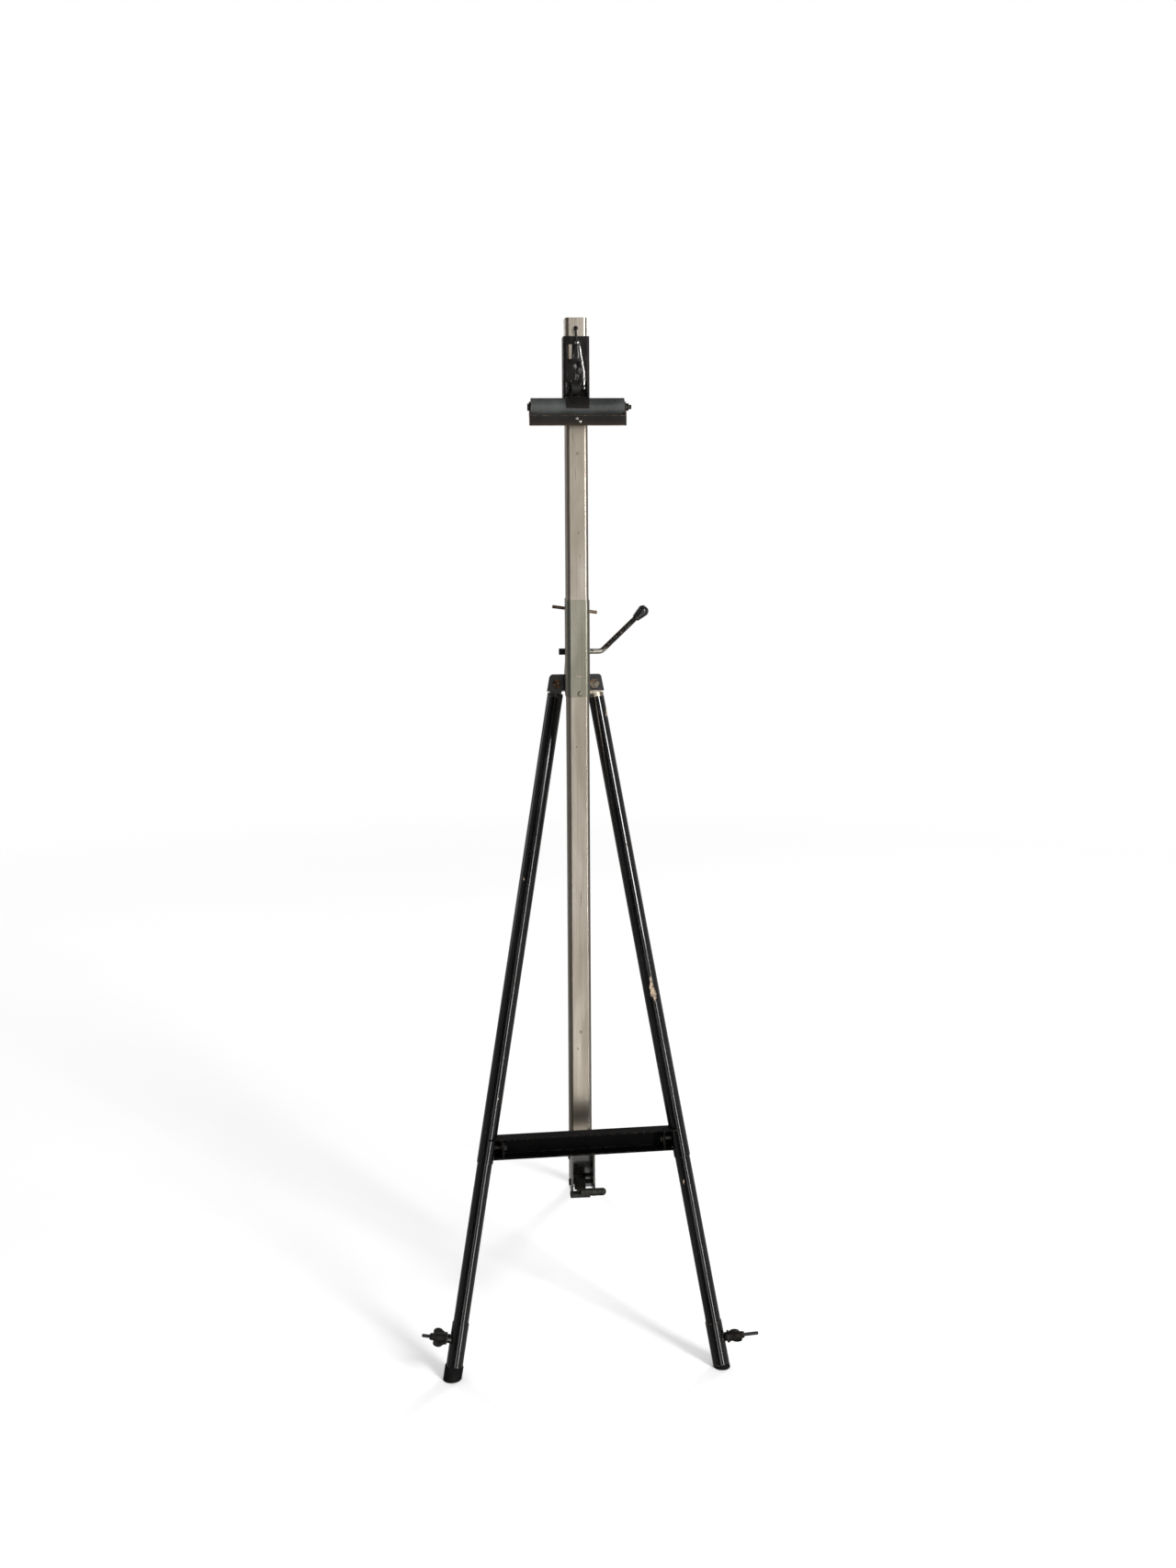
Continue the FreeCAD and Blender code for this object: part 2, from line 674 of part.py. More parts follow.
def make_wing_nut(name, side):
    """A tapered nut with two thin wings, on the foot's stud."""
    along = screw_direction(side)
    base = screw_centre(side) + along * (boss_reach + side_gap)
    hub = Part.makeCone(nut_base_d / 2, nut_end_d / 2, nut_length, V(0, 0, 0), V(0, 0, 1))
    half = wing_span / 2
    narrow = nut_base_d / 2
    outline = [
        V(-narrow, -wing_thick / 2, 0), V(-half, -wing_thick / 2, wing_start),
        V(-half, -wing_thick / 2, wing_length), V(-nut_end_d / 2, -wing_thick / 2, wing_length),
        V(nut_end_d / 2, -wing_thick / 2, wing_length), V(half, -wing_thick / 2, wing_length),
        V(half, -wing_thick / 2, wing_start), V(narrow, -wing_thick / 2, 0),
    ]
    wings = Part.Face(Part.makePolygon(outline + [outline[0]])).extrude(V(0, wing_thick, 0))
    rims = [
        e for e in wings.Edges
        if e.BoundBox.YMax - e.BoundBox.YMin > wing_thick - 0.1
        and abs(abs(e.CenterOfMass.x) - half) < 1e-3
    ]
    nut = hub.fuse(wings.makeFillet(wing_thick * 0.9, rims)).removeSplitter()
    nut = nut.cut(rod(V(0, 0, -1), V(0, 0, nut_length + 1), stud_d / 2 + running_gap))
    nut.rotate(V(0, 0, 0), V(0, 0, 1), wing_angles[side])
    nut.Placement = FreeCAD.Placement(base, FreeCAD.Rotation(V(0, 0, 1), along)).multiply(
        nut.Placement)
    add(name + "_wing_nut", nut)


# ---- crossbar -------------------------------------------------------------------------------
def beyond_leg(side, low, high):
    """Everything on the outer side of a leg's axis, near the crossbar."""
    centre = leg_at_height(side, crossbar_middle)
    size = 2 * (high - low)
    near, far = sorted((centre.x, centre.x + side * size))
    outside = block((near, centre.y - size, low - size), (far, centre.y + size, high + size))
    outward = leg_direction(side)
    outside.rotate(centre, V(0, 1, 0), -math.degrees(math.atan2(outward.x, -outward.z)))
    return outside


def make_crossbar():
    """Channel with its flanges forward, cut to the legs, with a plate and a bolt at each end."""
    back = crossbar_back
    front = back - crossbar_depth
    low = crossbar_middle - crossbar_height / 2
    high = crossbar_middle + crossbar_height / 2
    reach = leg_at_height(1, low).x + leg_d
    bar = block((-reach, front, low), (reach, back, high))
    spine = [
        e for e in bar.Edges
        if e.BoundBox.XMax - e.BoundBox.XMin > reach and abs(e.CenterOfMass.y - back) < 1e-3
    ]
    bar = bar.makeFillet(crossbar_corner, spine)
    floor = low + crossbar_wall
    ceiling = high - crossbar_wall
    web = back - crossbar_wall
    channel = tilted(bar.cut(block((-reach, front, floor), (reach, web, ceiling))))
    plates = []
    cutters = []
    for side in SIDES.values():
        leg_above = leg_at_height(side, high + leg_d)
        leg_below = leg_at_height(side, leg_joint_height - leg_d)
        cutters.append(rod(leg_above, leg_below, leg_d / 2 + end_gap))
        cutters.append(beyond_leg(side, low, high))
        outer = leg_at_height(1, crossbar_middle).x - leg_d / 2 - end_plate_inset
        near, far = sorted((side * outer, side * (outer - end_plate)))
        plate = tilted(block((near, front + 1, floor), (far, web, ceiling)))
        plates.append(plate.cut(end_bolt(side)))
    add("crossbar", max(channel.cut(cutters).Solids, key=lambda solid: solid.Volume))
    add("crossbar_end_plates", *plates)
    add("crossbar_bolts", end_bolt(-1), end_bolt(1))


# ---- lower guide ----------------------------------------------------------------------------
def make_lower_guide():
    """Channel between the mast and the crossbar, with a collar round the mast."""
    half = guide_width / 2
    web_back = guide_web_back
    web_front = web_back - guide_wall
    front = crossbar_back
    outline = [
        (web_back, guide_bottom), (front + guide_corner, guide_bottom),
        (front, guide_bottom + guide_corner_rise), (front, guide_top_front),
        (web_back, guide_top_back),
    ]
    guide = block((-half, web_front, guide_bottom), (half, web_back, guide_top_back))
    for side in SIDES.values():
        near, far = sorted((side * half, side * (half - guide_wall)))
        guide = guide.fuse(prism_x(outline, near, far))
    collar_wide = mast_width + 2 * guide_gap + 2 * guide_collar_wall
    collar = square_tube(collar_wide, guide_collar_wall, mast_corner + guide_collar_wall,
                         guide_collar_bottom, guide_collar_bottom + guide_collar_height)
    guide = guide.fuse(collar).removeSplitter()
    window_half = pedal_cam_width / 2 + side_gap
    window_reach = pedal_cam_radius + side_gap
    window = block((pedal_cam_shift - window_half, web_front - 1, guide_bottom - 1),
                   (pedal_cam_shift + window_half, web_back + 1, pedal_axis.z + window_reach))
    guide = guide.cut(window)
    guide = guide.cut(x_rod(-half - 1, half + 1, pedal_axis.y, pedal_axis.z, pedal_pin_d / 2))
    screw_point = V(-guide_screw_offset, web_front, guide_screw_height)
    add("lower_guide", guide)
    screw = rod(screw_point - V(0, guide_screw_d / 3, 0), screw_point, guide_screw_d / 2)
    rim = [e for e in screw.Edges if e.BoundBox.YMax < screw_point.y - guide_screw_d / 6]
    add("guide_screw", screw.makeFillet(guide_screw_d / 5, rim))

    pin = x_rod(-half, half, pedal_axis.y, pedal_axis.z, pedal_pin_d / 2)
    for side in SIDES.values():
        start = side * half
        pin = pin.fuse(x_rod(start, start + side * pedal_pin_head, pedal_axis.y, pedal_axis.z,
                             pedal_pin_d * 0.8))
    add("pedal_pin", pin)


def make_pedal():
    """Cam that presses the mast's foot, with an arm and a cross handle in front."""
    reach = pedal_axis_front - slide_gap
    offset = reach - pedal_cam_radius
    x0 = pedal_cam_shift - pedal_cam_width / 2
    x1 = pedal_cam_shift + pedal_cam_width / 2
    cam = x_rod(x0, x1, pedal_axis.y + offset, pedal_axis.z, pedal_cam_radius)
    handle_y = crossbar_back - pedal_handle_gap - pedal_plate_depth / 2
    arm_x0 = pedal_cam_shift - pedal_arm_width / 2
    arm_x1 = pedal_cam_shift + pedal_arm_width / 2
    outline = [
        (pedal_axis.y, pedal_axis.z - pedal_cam_radius * 0.8),
        (pedal_axis.y, pedal_axis.z + pedal_cam_radius * 0.9),
        (handle_y, pedal_axis.z + pedal_handle_d * 0.4),
        (handle_y, pedal_axis.z - pedal_handle_d * 0.4),
    ]
    arm = prism_x(outline, arm_x0, arm_x1)
    handle = x_rod(-pedal_handle_left, pedal_handle_right - pedal_handle_d / 2, handle_y,
                   pedal_axis.z, pedal_handle_d / 2)
    end = Part.makeSphere(pedal_handle_d / 2, V(pedal_handle_right - pedal_handle_d / 2, handle_y,
                                                pedal_axis.z))
    plate_low = (-pedal_plate_left, handle_y - pedal_plate_depth / 2,
                 pedal_axis.z - pedal_handle_d / 2)
    plate_high = (pedal_plate_right, handle_y + pedal_plate_depth / 2,
                  pedal_axis.z - pedal_handle_d / 2 + pedal_plate_thick)
    handle = handle.fuse([end, block(plate_low, plate_high)]).removeSplitter()
    hole = x_rod(x0 - 1, x1 + 1, pedal_axis.y, pedal_axis.z, pedal_pin_d / 2 + running_gap)
    add("pedal_cam", cam.fuse(arm).removeSplitter().cut(hole).cut(handle))
    add("pedal_handle", handle)


# ---- rear leg -------------------------------------------------------------------------------
rear_foot = V(rear_foot_x, rear_foot_y, 0)
rear_direction = (rear_foot - rear_pivot).normalize()
rear_length = (rear_foot - rear_pivot).Length
rear_swing = math.atan2(rear_foot.y - rear_pivot.y, rear_pivot.z)
rear_sideways = math.asin(rear_foot.x / rear_length)


def make_rear_leg():
    """Block between the yoke's ears, the tube below it and a rubber tip cut level."""
    half = ear_inner - side_gap
    depth = rear_block_depth / 2
    body = block((-half, -depth, -rear_block_down), (half, depth, 0))
    body = body.fuse(x_rod(-half, half, 0, 0, depth)).removeSplitter()
    spigot_r = rear_leg_d / 2 - rear_leg_wall - insert_gap
    spigot = rod(V(0, 0, -rear_block_down - spigot_length), V(0, 0, -depth), spigot_r)
    spigot.rotate(V(0, 0, 0), V(0, 1, 0), -math.degrees(rear_sideways))
    hole = x_rod(-half - 1, half + 1, 0, 0, rear_pin_d / 2 + running_gap)
    fitting = body.fuse(spigot).removeSplitter().cut(hole)
    fitting.rotate(V(0, 0, 0), V(1, 0, 0), math.degrees(rear_swing))
    fitting.translate(rear_pivot)
    add("rear_leg_block", fitting)

    outer = rear_leg_d / 2
    below_block = rear_block_down / math.cos(rear_sideways) + outer * math.tan(rear_sideways)
    tube_start = rear_pivot + rear_direction * below_block
    tube_end = rear_pivot + rear_direction * (rear_length - rear_tip_floor)
    add("rear_leg_tube", tube(tube_start, tube_end, outer, outer - rear_leg_wall))

    cup_start = tube_end - rear_direction * (rear_tip_length - rear_tip_floor)
    beyond = rear_foot + rear_direction * rear_tip_d
    cup = rod(cup_start, beyond, rear_tip_d / 2).cut(rod(cup_start, tube_end, outer))
    size = 4 * rear_tip_d
    floor = Part.makeBox(size, size, size, rear_foot - V(size / 2, size / 2, size))
    add("rear_foot_tip", cup.cut(floor))


# ---- carriage -------------------------------------------------------------------------------
def make_carriage():
    sleeve = square_tube(2 * carriage_half, carriage_wall, carriage_corner, carriage_bottom,
                         carriage_top)
    ear_inner_x = ear_inside / 2
    ear_outer_x = ear_inner_x + ear_plate
    tip = carriage_front - ear_reach
    low = carriage_pin.z - ear_height / 2
    high = carriage_pin.z + ear_height / 2
    root = carriage_front + carriage_wall / 2
    outline = [
        (root, low), (carriage_front, low), (tip, carriage_pin.z - ear_height / 4),
        (tip, carriage_pin.z + ear_height / 4), (carriage_front, high), (root, high),
    ]
    for side in SIDES.values():
        near, far = sorted((side * ear_inner_x, side * ear_outer_x))
        sleeve = sleeve.fuse(prism_x(outline, near, far))
    panel_high = carriage_top - panel_top
    panel = block((-ear_inner_x, carriage_front - 1, low),
                  (ear_inner_x, carriage_front + panel_depth, panel_high))
    slit_high = panel_high - slit_drop
    slit = block((-slit_left, carriage_front - 1, slit_high - slit_height),
                 (-slit_right, 0, slit_high))
    cam_half = latch_cam_width / 2 + side_gap
    cam_reach = latch_cam_radius + side_gap
    cam_hole = block((latch_cam_shift - cam_half, carriage_front - 1, carriage_pin.z - cam_reach),
                     (latch_cam_shift + cam_half, 0, carriage_pin.z + cam_reach))
    hole_r = carriage_pin_d / 2 + running_gap
    sleeve = sleeve.removeSplitter().cut([panel, slit, cam_hole])
    sleeve = sleeve.cut(x_rod(-ear_outer_x - 1, ear_outer_x + 1, carriage_pin.y, carriage_pin.z,
                              hole_r))
    add("carriage_sleeve", sleeve)

    inner = mast_half + carriage_gap
    glides = []
    for z0 in (carriage_bottom + glide_inset, carriage_top - glide_inset - glide_height):
        for turn in (0, 90, 180, 270):
            glide = block((-glide_width / 2, inner - glide_thick, z0),
                          (glide_width / 2, inner, z0 + glide_height))
            glide.rotate(V(0, 0, 0), V(0, 0, 1), turn)
            glides.append(glide)
    add("carriage_glides", *glides)


def make_latch():
    """Cam on the carriage's front with its shaft, bent wire, grip and tip."""
    reach = carriage_pin_front + carriage_half - mast_half - slide_gap
    offset = reach - latch_cam_radius
    half = latch_cam_width / 2
    cam = x_rod(latch_cam_shift - half, latch_cam_shift + half, carriage_pin.y + offset,
                carriage_pin.z, latch_cam_radius)
    eye_r = latch_eye_d / 2
    ear_outer_x = ear_inside / 2 + ear_plate
    eye_centre = V(ear_inside / 2 - side_gap - eye_r, carriage_pin.y, carriage_pin.z)
    shaft = x_rod(-ear_outer_x - shaft_end, ear_outer_x + shaft_end, carriage_pin.y,
                  carriage_pin.z, carriage_pin_d / 2)
    add("latch_cam", cam.fuse(shaft).removeSplitter())

    wire_y = carriage_front - latch_rod_d - latch_stand_off
    grip_y = wire_y - grip_radius - latch_rod_d / 2 - grip_stand_off
    grip_top = V(0, grip_y, carriage_top - grip_drop)
    wire_top = grip_top.z + latch_rod_d
    knee = V(eye_centre.x, wire_y, carriage_pin.z + latch_knee_rise)
    shoulder = V(latch_rod_d * 0.75, wire_y, wire_top)
    end = V(0, grip_y, wire_top)
    wire = bent_rod([eye_centre, knee, shoulder, end], latch_rod_d / 2, latch_bend)
    eye = Part.makeSphere(eye_r, eye_centre)
    loop = Part.makeSphere(latch_rod_d * 0.8, end)
    tip_start = grip_top - V(0, 0, latch_tip_socket)
    tip_end = grip_top + V(-latch_tip_lean, 0, latch_tip_length)
    tip = rod(tip_start, tip_end, latch_tip_d / 2)
    ball = Part.makeSphere(latch_ball_d / 2, tip_end)
    tip = tip.fuse(ball).removeSplitter()
    wire = wire.fuse([eye, loop]).removeSplitter()
    add("latch_wire", wire.cut(nodes["latch_cam"]).cut(tip))
    grip = teardrop(grip_top, V(0, 0, -1), grip_length, grip_radius, grip_neck)
    add("latch_grip", grip.cut(tip))
    add("latch_tip", tip)


# ---- top bar --------------------------------------------------------------------------------
def make_top_bar():
    """Round bar, its end plugs and axle, the strap that holds it and the lip that hangs on it."""
    y, z = bar_axis.y, bar_axis.z
    outer = bar_d / 2
    inner = outer - bar_wall
    length = bar_half_length
    add("top_bar", x_rod(-length, length, y, z, outer).cut(x_rod(-length, length, y, z, inner)))
    plugs = []
    for side in SIDES.values():
        start = side * length
        plug = x_rod(start, start - side * bar_plug_depth, y, z, inner - insert_gap)
        plugs.append(plug.cut(x_rod(-length - 1, length + 1, y, z, bar_axle_d / 2)))
    add("top_bar_plugs", *plugs)
    lug_outer = length + side_gap + lip_lug
    head_start = lug_outer + side_gap
    axle = x_rod(-head_start, head_start, y, z, bar_axle_d / 2)
    axle = axle.fuse(x_rod(-head_start - axle_head_length / 2, -head_start, y, z, axle_head_d / 2))
    axle = axle.fuse(x_rod(head_start, head_start + axle_head_length, y, z, axle_head_d / 2))
    stub = head_start + axle_head_length
    axle = axle.fuse(x_rod(stub, stub + axle_stub_length, y, z, axle_stub_d / 2))
    add("top_bar_axle", axle.removeSplitter())

    ring = x_rod(-strap_half_width, strap_half_width, y, z, outer + strap_thick)
    ring = ring.cut(x_rod(-strap_half_width - 1, strap_half_width + 1, y, z, outer))
    keep = block((-strap_half_width, y - bar_d, z - strap_front_drop),
                 (strap_half_width, carriage_front, z + bar_d))
    add("bar_strap", ring.common(keep))

    plate_front = y - outer
    plate_back = plate_front + lip_thick
    top = z - outer + lip_rise
    bottom = top - lip_height
    edge = length + side_gap
    lip = block((-lug_outer, plate_front, bottom), (lug_outer, plate_back, top))
    fold_back = plate_front + lip_fold
    lip = lip.fuse(block((-lug_outer, plate_front, bottom), (lug_outer, fold_back,
                                                             bottom + lip_thick)))
    lug_outline = [
        (plate_front, bottom), (fold_back, bottom), (y + lug_radius, z), (y - lug_radius, z),
        (plate_front, z - lug_radius),
    ]
    for side in SIDES.values():
        near, far = sorted((side * edge, side * lug_outer))
        lug = prism_x(lug_outline, near, far).fuse(x_rod(near, far, y, z, lug_radius))
        lip = lip.fuse(lug)
    hole = x_rod(-lug_outer - 1, lug_outer + 1, y, z, bar_axle_d / 2 + running_gap)
    add("top_lip", lip.removeSplitter().cut(hole))
    screws = []
    for x, down in zip(lip_screws_across, lip_screws_down):
        point = V(x, plate_front, top - down)
        screws.append(rod(point - V(0, lip_screw_height, 0), point, lip_screw_d / 2))
    add("lip_screws", *screws)


make_mast()
make_head()
make_clamp_lever()
for side_name, side_sign in SIDES.items():
    make_leg_bracket(side_name, side_sign)
    make_leg_fitting(side_name, side_sign)
    make_leg_tubes(side_name, side_sign)
    make_foot(side_name, side_sign)
    make_wing_nut(side_name, side_sign)
add("hinge_bolts", hinge_bolt(-1), hinge_bolt(1))
add("hinge_nuts", hinge_nut(-1), hinge_nut(1))
make_crossbar()
make_lower_guide()
make_pedal()
make_rear_leg()
make_carriage()
make_latch()
make_top_bar()

# The origin is on the floor at the middle of the footprint, front feet to rear foot.
front_edge = nodes["left_foot_tip"].optimalBoundingBox().YMin
rear_edge = nodes["rear_foot_tip"].optimalBoundingBox().YMax
mast_y = -(front_edge + rear_edge) / 2

os.makedirs("parts", exist_ok=True)
for node_name, shape in nodes.items():
    placed = shape.copy()
    placed.translate(V(0, mast_y, 0))
    placed.exportStep("parts/" + node_name + ".step")
print("nodes", len(nodes), "mast axis at y =", round(mast_y, 3))
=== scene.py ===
"""Looks for the studio easel: materials, small detailed pieces, studio and camera.

Everything is in metres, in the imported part's own frame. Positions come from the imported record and
from the boxes of its nodes.
"""
import json
import math

import bmesh
import bpy
from mathutils import Matrix, Vector, noise


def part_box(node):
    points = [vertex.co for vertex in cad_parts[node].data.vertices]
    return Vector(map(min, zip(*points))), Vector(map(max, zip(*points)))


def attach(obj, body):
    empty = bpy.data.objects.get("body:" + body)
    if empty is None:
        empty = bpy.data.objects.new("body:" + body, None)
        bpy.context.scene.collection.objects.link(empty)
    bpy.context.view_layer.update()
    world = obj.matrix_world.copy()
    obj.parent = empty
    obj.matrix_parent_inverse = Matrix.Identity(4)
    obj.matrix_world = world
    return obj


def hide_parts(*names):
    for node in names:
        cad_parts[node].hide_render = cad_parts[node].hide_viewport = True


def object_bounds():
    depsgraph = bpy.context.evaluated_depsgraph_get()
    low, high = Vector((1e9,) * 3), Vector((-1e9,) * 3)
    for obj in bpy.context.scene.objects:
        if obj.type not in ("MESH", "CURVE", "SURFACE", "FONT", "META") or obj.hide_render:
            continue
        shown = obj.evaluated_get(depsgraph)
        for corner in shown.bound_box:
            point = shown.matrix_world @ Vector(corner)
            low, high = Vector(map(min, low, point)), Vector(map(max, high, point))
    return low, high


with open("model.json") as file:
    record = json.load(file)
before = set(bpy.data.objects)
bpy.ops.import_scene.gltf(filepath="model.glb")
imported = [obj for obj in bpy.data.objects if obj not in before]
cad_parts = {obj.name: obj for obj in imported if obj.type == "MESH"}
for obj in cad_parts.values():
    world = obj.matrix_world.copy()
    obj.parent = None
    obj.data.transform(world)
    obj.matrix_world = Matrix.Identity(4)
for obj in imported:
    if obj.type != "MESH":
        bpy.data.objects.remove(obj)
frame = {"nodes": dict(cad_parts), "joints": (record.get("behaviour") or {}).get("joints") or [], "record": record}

CAD_BOX = [list(corner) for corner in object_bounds()]
RECORD = frame["record"]
NODES = frame["nodes"]
JOINTS = {joint["name"]: joint for joint in frame["joints"]}
SCENE = bpy.context.scene

LEG_RADIUS = 0.012
STUD_RADIUS = 0.0025
THREAD_RADIUS = STUD_RADIUS * 0.985
THREAD_PITCH = 0.0008
THREAD_SUNK = 0.0018       # length of thread inside the foot sleeve
WING_THICKNESS = 0.0038
WING_HEIGHT = 0.0200
WING_BASE = 0.0085         # half width of a wing where it leaves the hub
EAR_RADIUS = (0.0062, 0.0074)
NUT_VOXEL = 0.00045
BEAD_RADIUS = 0.0016
BEAD_RIPPLES = 9

RUST_DARK, RUST_LIGHT = (0.11, 0.045, 0.018), (0.24, 0.12, 0.05)
BROWNED_AND_SHADED_DARK, BROWNED_AND_SHADED_LIGHT = (0.006, 0.0052, 0.0046), (0.20, 0.165, 0.13)
OLD_DIRT, RIM_DIRT, BRIGHT_SCUFF = (0.10, 0.065, 0.04), (0.16, 0.12, 0.085), (0.74, 0.72, 0.68)
SCRATCH_GREY, DUST, PAINTED_REFLECTION_BROWN = (0.11, 0.105, 0.10), (0.32, 0.30, 0.27), (0.026, 0.015, 0.009)
RESIN_DARK, RESIN_LIGHT, RESIN_NICK = (0.006, 0.006, 0.007), (0.020, 0.018, 0.017), (0.12, 0.10, 0.08)
RUBBER_DARK, RUBBER_LIGHT = (0.0025, 0.0025, 0.0025), (0.007, 0.0068, 0.0065)
RUBBER_SCUFF = (0.07, 0.065, 0.058)
WHITE = (1, 1, 1)
WARM_WHITE = (1, 0.98, 0.95)


# ---- material nodes -------------------------------------------------------------------------
class Nodes:
    """Short names for building the node tree of a material or a world."""

    def __init__(self, data, place):
        data.use_nodes = True
        self.data = data
        self.tree = data.node_tree
        self.tree.nodes.clear()
        self.place = self.node("ShaderNodeTexCoord").outputs[place]

    def node(self, kind, **settings):
        made = self.tree.nodes.new(kind)
        for name, value in settings.items():
            setattr(made, name, value)
        return made

    def link(self, a, b):
        self.tree.links.new(a, b)

    def put(self, node, socket, value):
        """Link an output to a socket, or set the socket's own number or colour."""
        target = node.inputs[socket]
        if hasattr(value, "node"):
            self.link(value, target)
        elif target.type == "RGBA" and len(value) == 3:
            target.default_value = (*value, 1)
        else:
            target.default_value = value

    def scaled(self, scale, turn=(0, 0, 0), shift=(0, 0, 0)):
        mapping = self.node("ShaderNodeMapping", vector_type="POINT")
        self.link(self.place, mapping.inputs["Vector"])
        mapping.inputs["Scale"].default_value = scale
        mapping.inputs["Rotation"].default_value = turn
        mapping.inputs["Location"].default_value = shift
        return mapping.outputs[0]

    def noise(self, scale, detail=4.0, rough=0.55, turn=(0, 0, 0), shift=(0, 0, 0), twist=0.0):
        """Noise whose scale is cells per metre along x, y and z."""
        made = self.node("ShaderNodeTexNoise")
        self.link(self.scaled(scale, turn, shift), made.inputs["Vector"])
        made.inputs["Scale"].default_value = 1.0
        made.inputs["Detail"].default_value = detail
        made.inputs["Roughness"].default_value = rough
        made.inputs["Distortion"].default_value = twist
        return made.outputs["Fac"]

    def cells(self, scale):
        """Distance to the nearest of many scattered points."""
        made = self.node("ShaderNodeTexVoronoi")
        self.link(self.scaled(scale), made.inputs["Vector"])
        made.inputs["Scale"].default_value = 1.0
        return made.outputs["Distance"]

    def remap(self, value, low, high, to_high=1.0):
        """0 at low, smoothly up to to_high at high."""
        made = self.node("ShaderNodeMapRange", interpolation_type="SMOOTHSTEP")
        self.put(made, "Value", value)
        made.inputs["From Min"].default_value = low
        made.inputs["From Max"].default_value = high
        made.inputs["To Min"].default_value = 0.0
        made.inputs["To Max"].default_value = to_high
        return made.outputs["Result"]

    def sum(self, operation, a, b):
        made = self.node("ShaderNodeMath", operation=operation)
        for i, value in enumerate((a, b)):
            self.put(made, i, value)
        return made.outputs[0]

    def times(self, a, b):
        return self.sum("MULTIPLY", a, b)

    def most(self, a, b):
        return self.sum("MAXIMUM", a, b)

    def mix(self, factor, a, b):
        """Mix of two colours."""
        made = self.node("ShaderNodeMix", data_type="RGBA")
        self.put(made, 0, factor)
        self.put(made, 6, a)
        self.put(made, 7, b)
        return made.outputs[2]

    def blend(self, factor, a, b):
        """Mix of two numbers."""
        made = self.node("ShaderNodeMix", data_type="FLOAT")
        self.put(made, 0, factor)
        self.put(made, 2, a)
        self.put(made, 3, b)
        return made.outputs[0]

    def axis(self, letter):
        """The place's own x, y or z."""
        split = self.node("ShaderNodeSeparateXYZ")
        self.link(self.place, split.inputs[0])
        return split.outputs[letter]

    def length(self, vector):
        made = self.node("ShaderNodeVectorMath", operation="LENGTH")
        self.link(vector, made.inputs[0])
        return made.outputs["Value"]

    def flipped(self, value):
        return self.sum("SUBTRACT", 1.0, value)

    def shader_mix(self, factor, a, b):
        made = self.node("ShaderNodeMixShader")
        self.link(factor, made.inputs[0])
        self.link(a.outputs[0], made.inputs[1])
        self.link(b.outputs[0], made.inputs[2])
        return made


class Material(Nodes):
    """A Principled material, with its place in metres in the part's frame."""

    def __init__(self, name, **sockets):
        super().__init__(bpy.data.materials.new(name), "Object")
        self.shader = self.node("ShaderNodeBsdfPrincipled")
        self.output = self.node("ShaderNodeOutputMaterial")
        self.link(self.shader.outputs[0], self.output.inputs["Surface"])
        self.set(**sockets)

    def set(self, **sockets):
        for socket, value in sockets.items():
            self.put(self.shader, socket.replace("_", " "), value)

    def edges(self, radius, sharpness=0.06):
        """1 along sharp edges, 0 on flat and gently curved faces."""
        bevel = self.node("ShaderNodeBevel", samples=6)
        bevel.inputs["Radius"].default_value = radius
        geometry = self.node("ShaderNodeNewGeometry")
        dot = self.node("ShaderNodeVectorMath", operation="DOT_PRODUCT")
        self.link(bevel.outputs[0], dot.inputs[0])
        self.link(geometry.outputs["Normal"], dot.inputs[1])
        return self.remap(self.flipped(dot.outputs["Value"]), 0.004, sharpness)

    def near(self, centre, reach):
        """1 at a point, falling to 0 in a ragged line near these distances along x, y and z."""
        shift = [-c / r for c, r in zip(centre, reach)]
        moved = self.scaled([1 / r for r in reach], shift=shift)
        ragged = self.times(self.noise((380, 380, 210), 6, 0.72, shift=(9, 4, 7)), 1.9)
        return self.remap(self.sum("ADD", self.length(moved), ragged), 1.62, 1.46)

    def bump(self, *layers, round_off=0.0004):
        """Surface relief: layers of (height, depth in metres), on softened edges."""
        bevel = self.node("ShaderNodeBevel", samples=4)
        bevel.inputs["Radius"].default_value = round_off
        normal = bevel.outputs[0]
        for height, depth in layers:
            made = self.node("ShaderNodeBump")
            made.inputs["Distance"].default_value = depth
            made.inputs["Strength"].default_value = 1.0
            self.link(height, made.inputs["Height"])
            self.link(normal, made.inputs["Normal"])
            normal = made.outputs[0]
        self.set(Normal=normal)


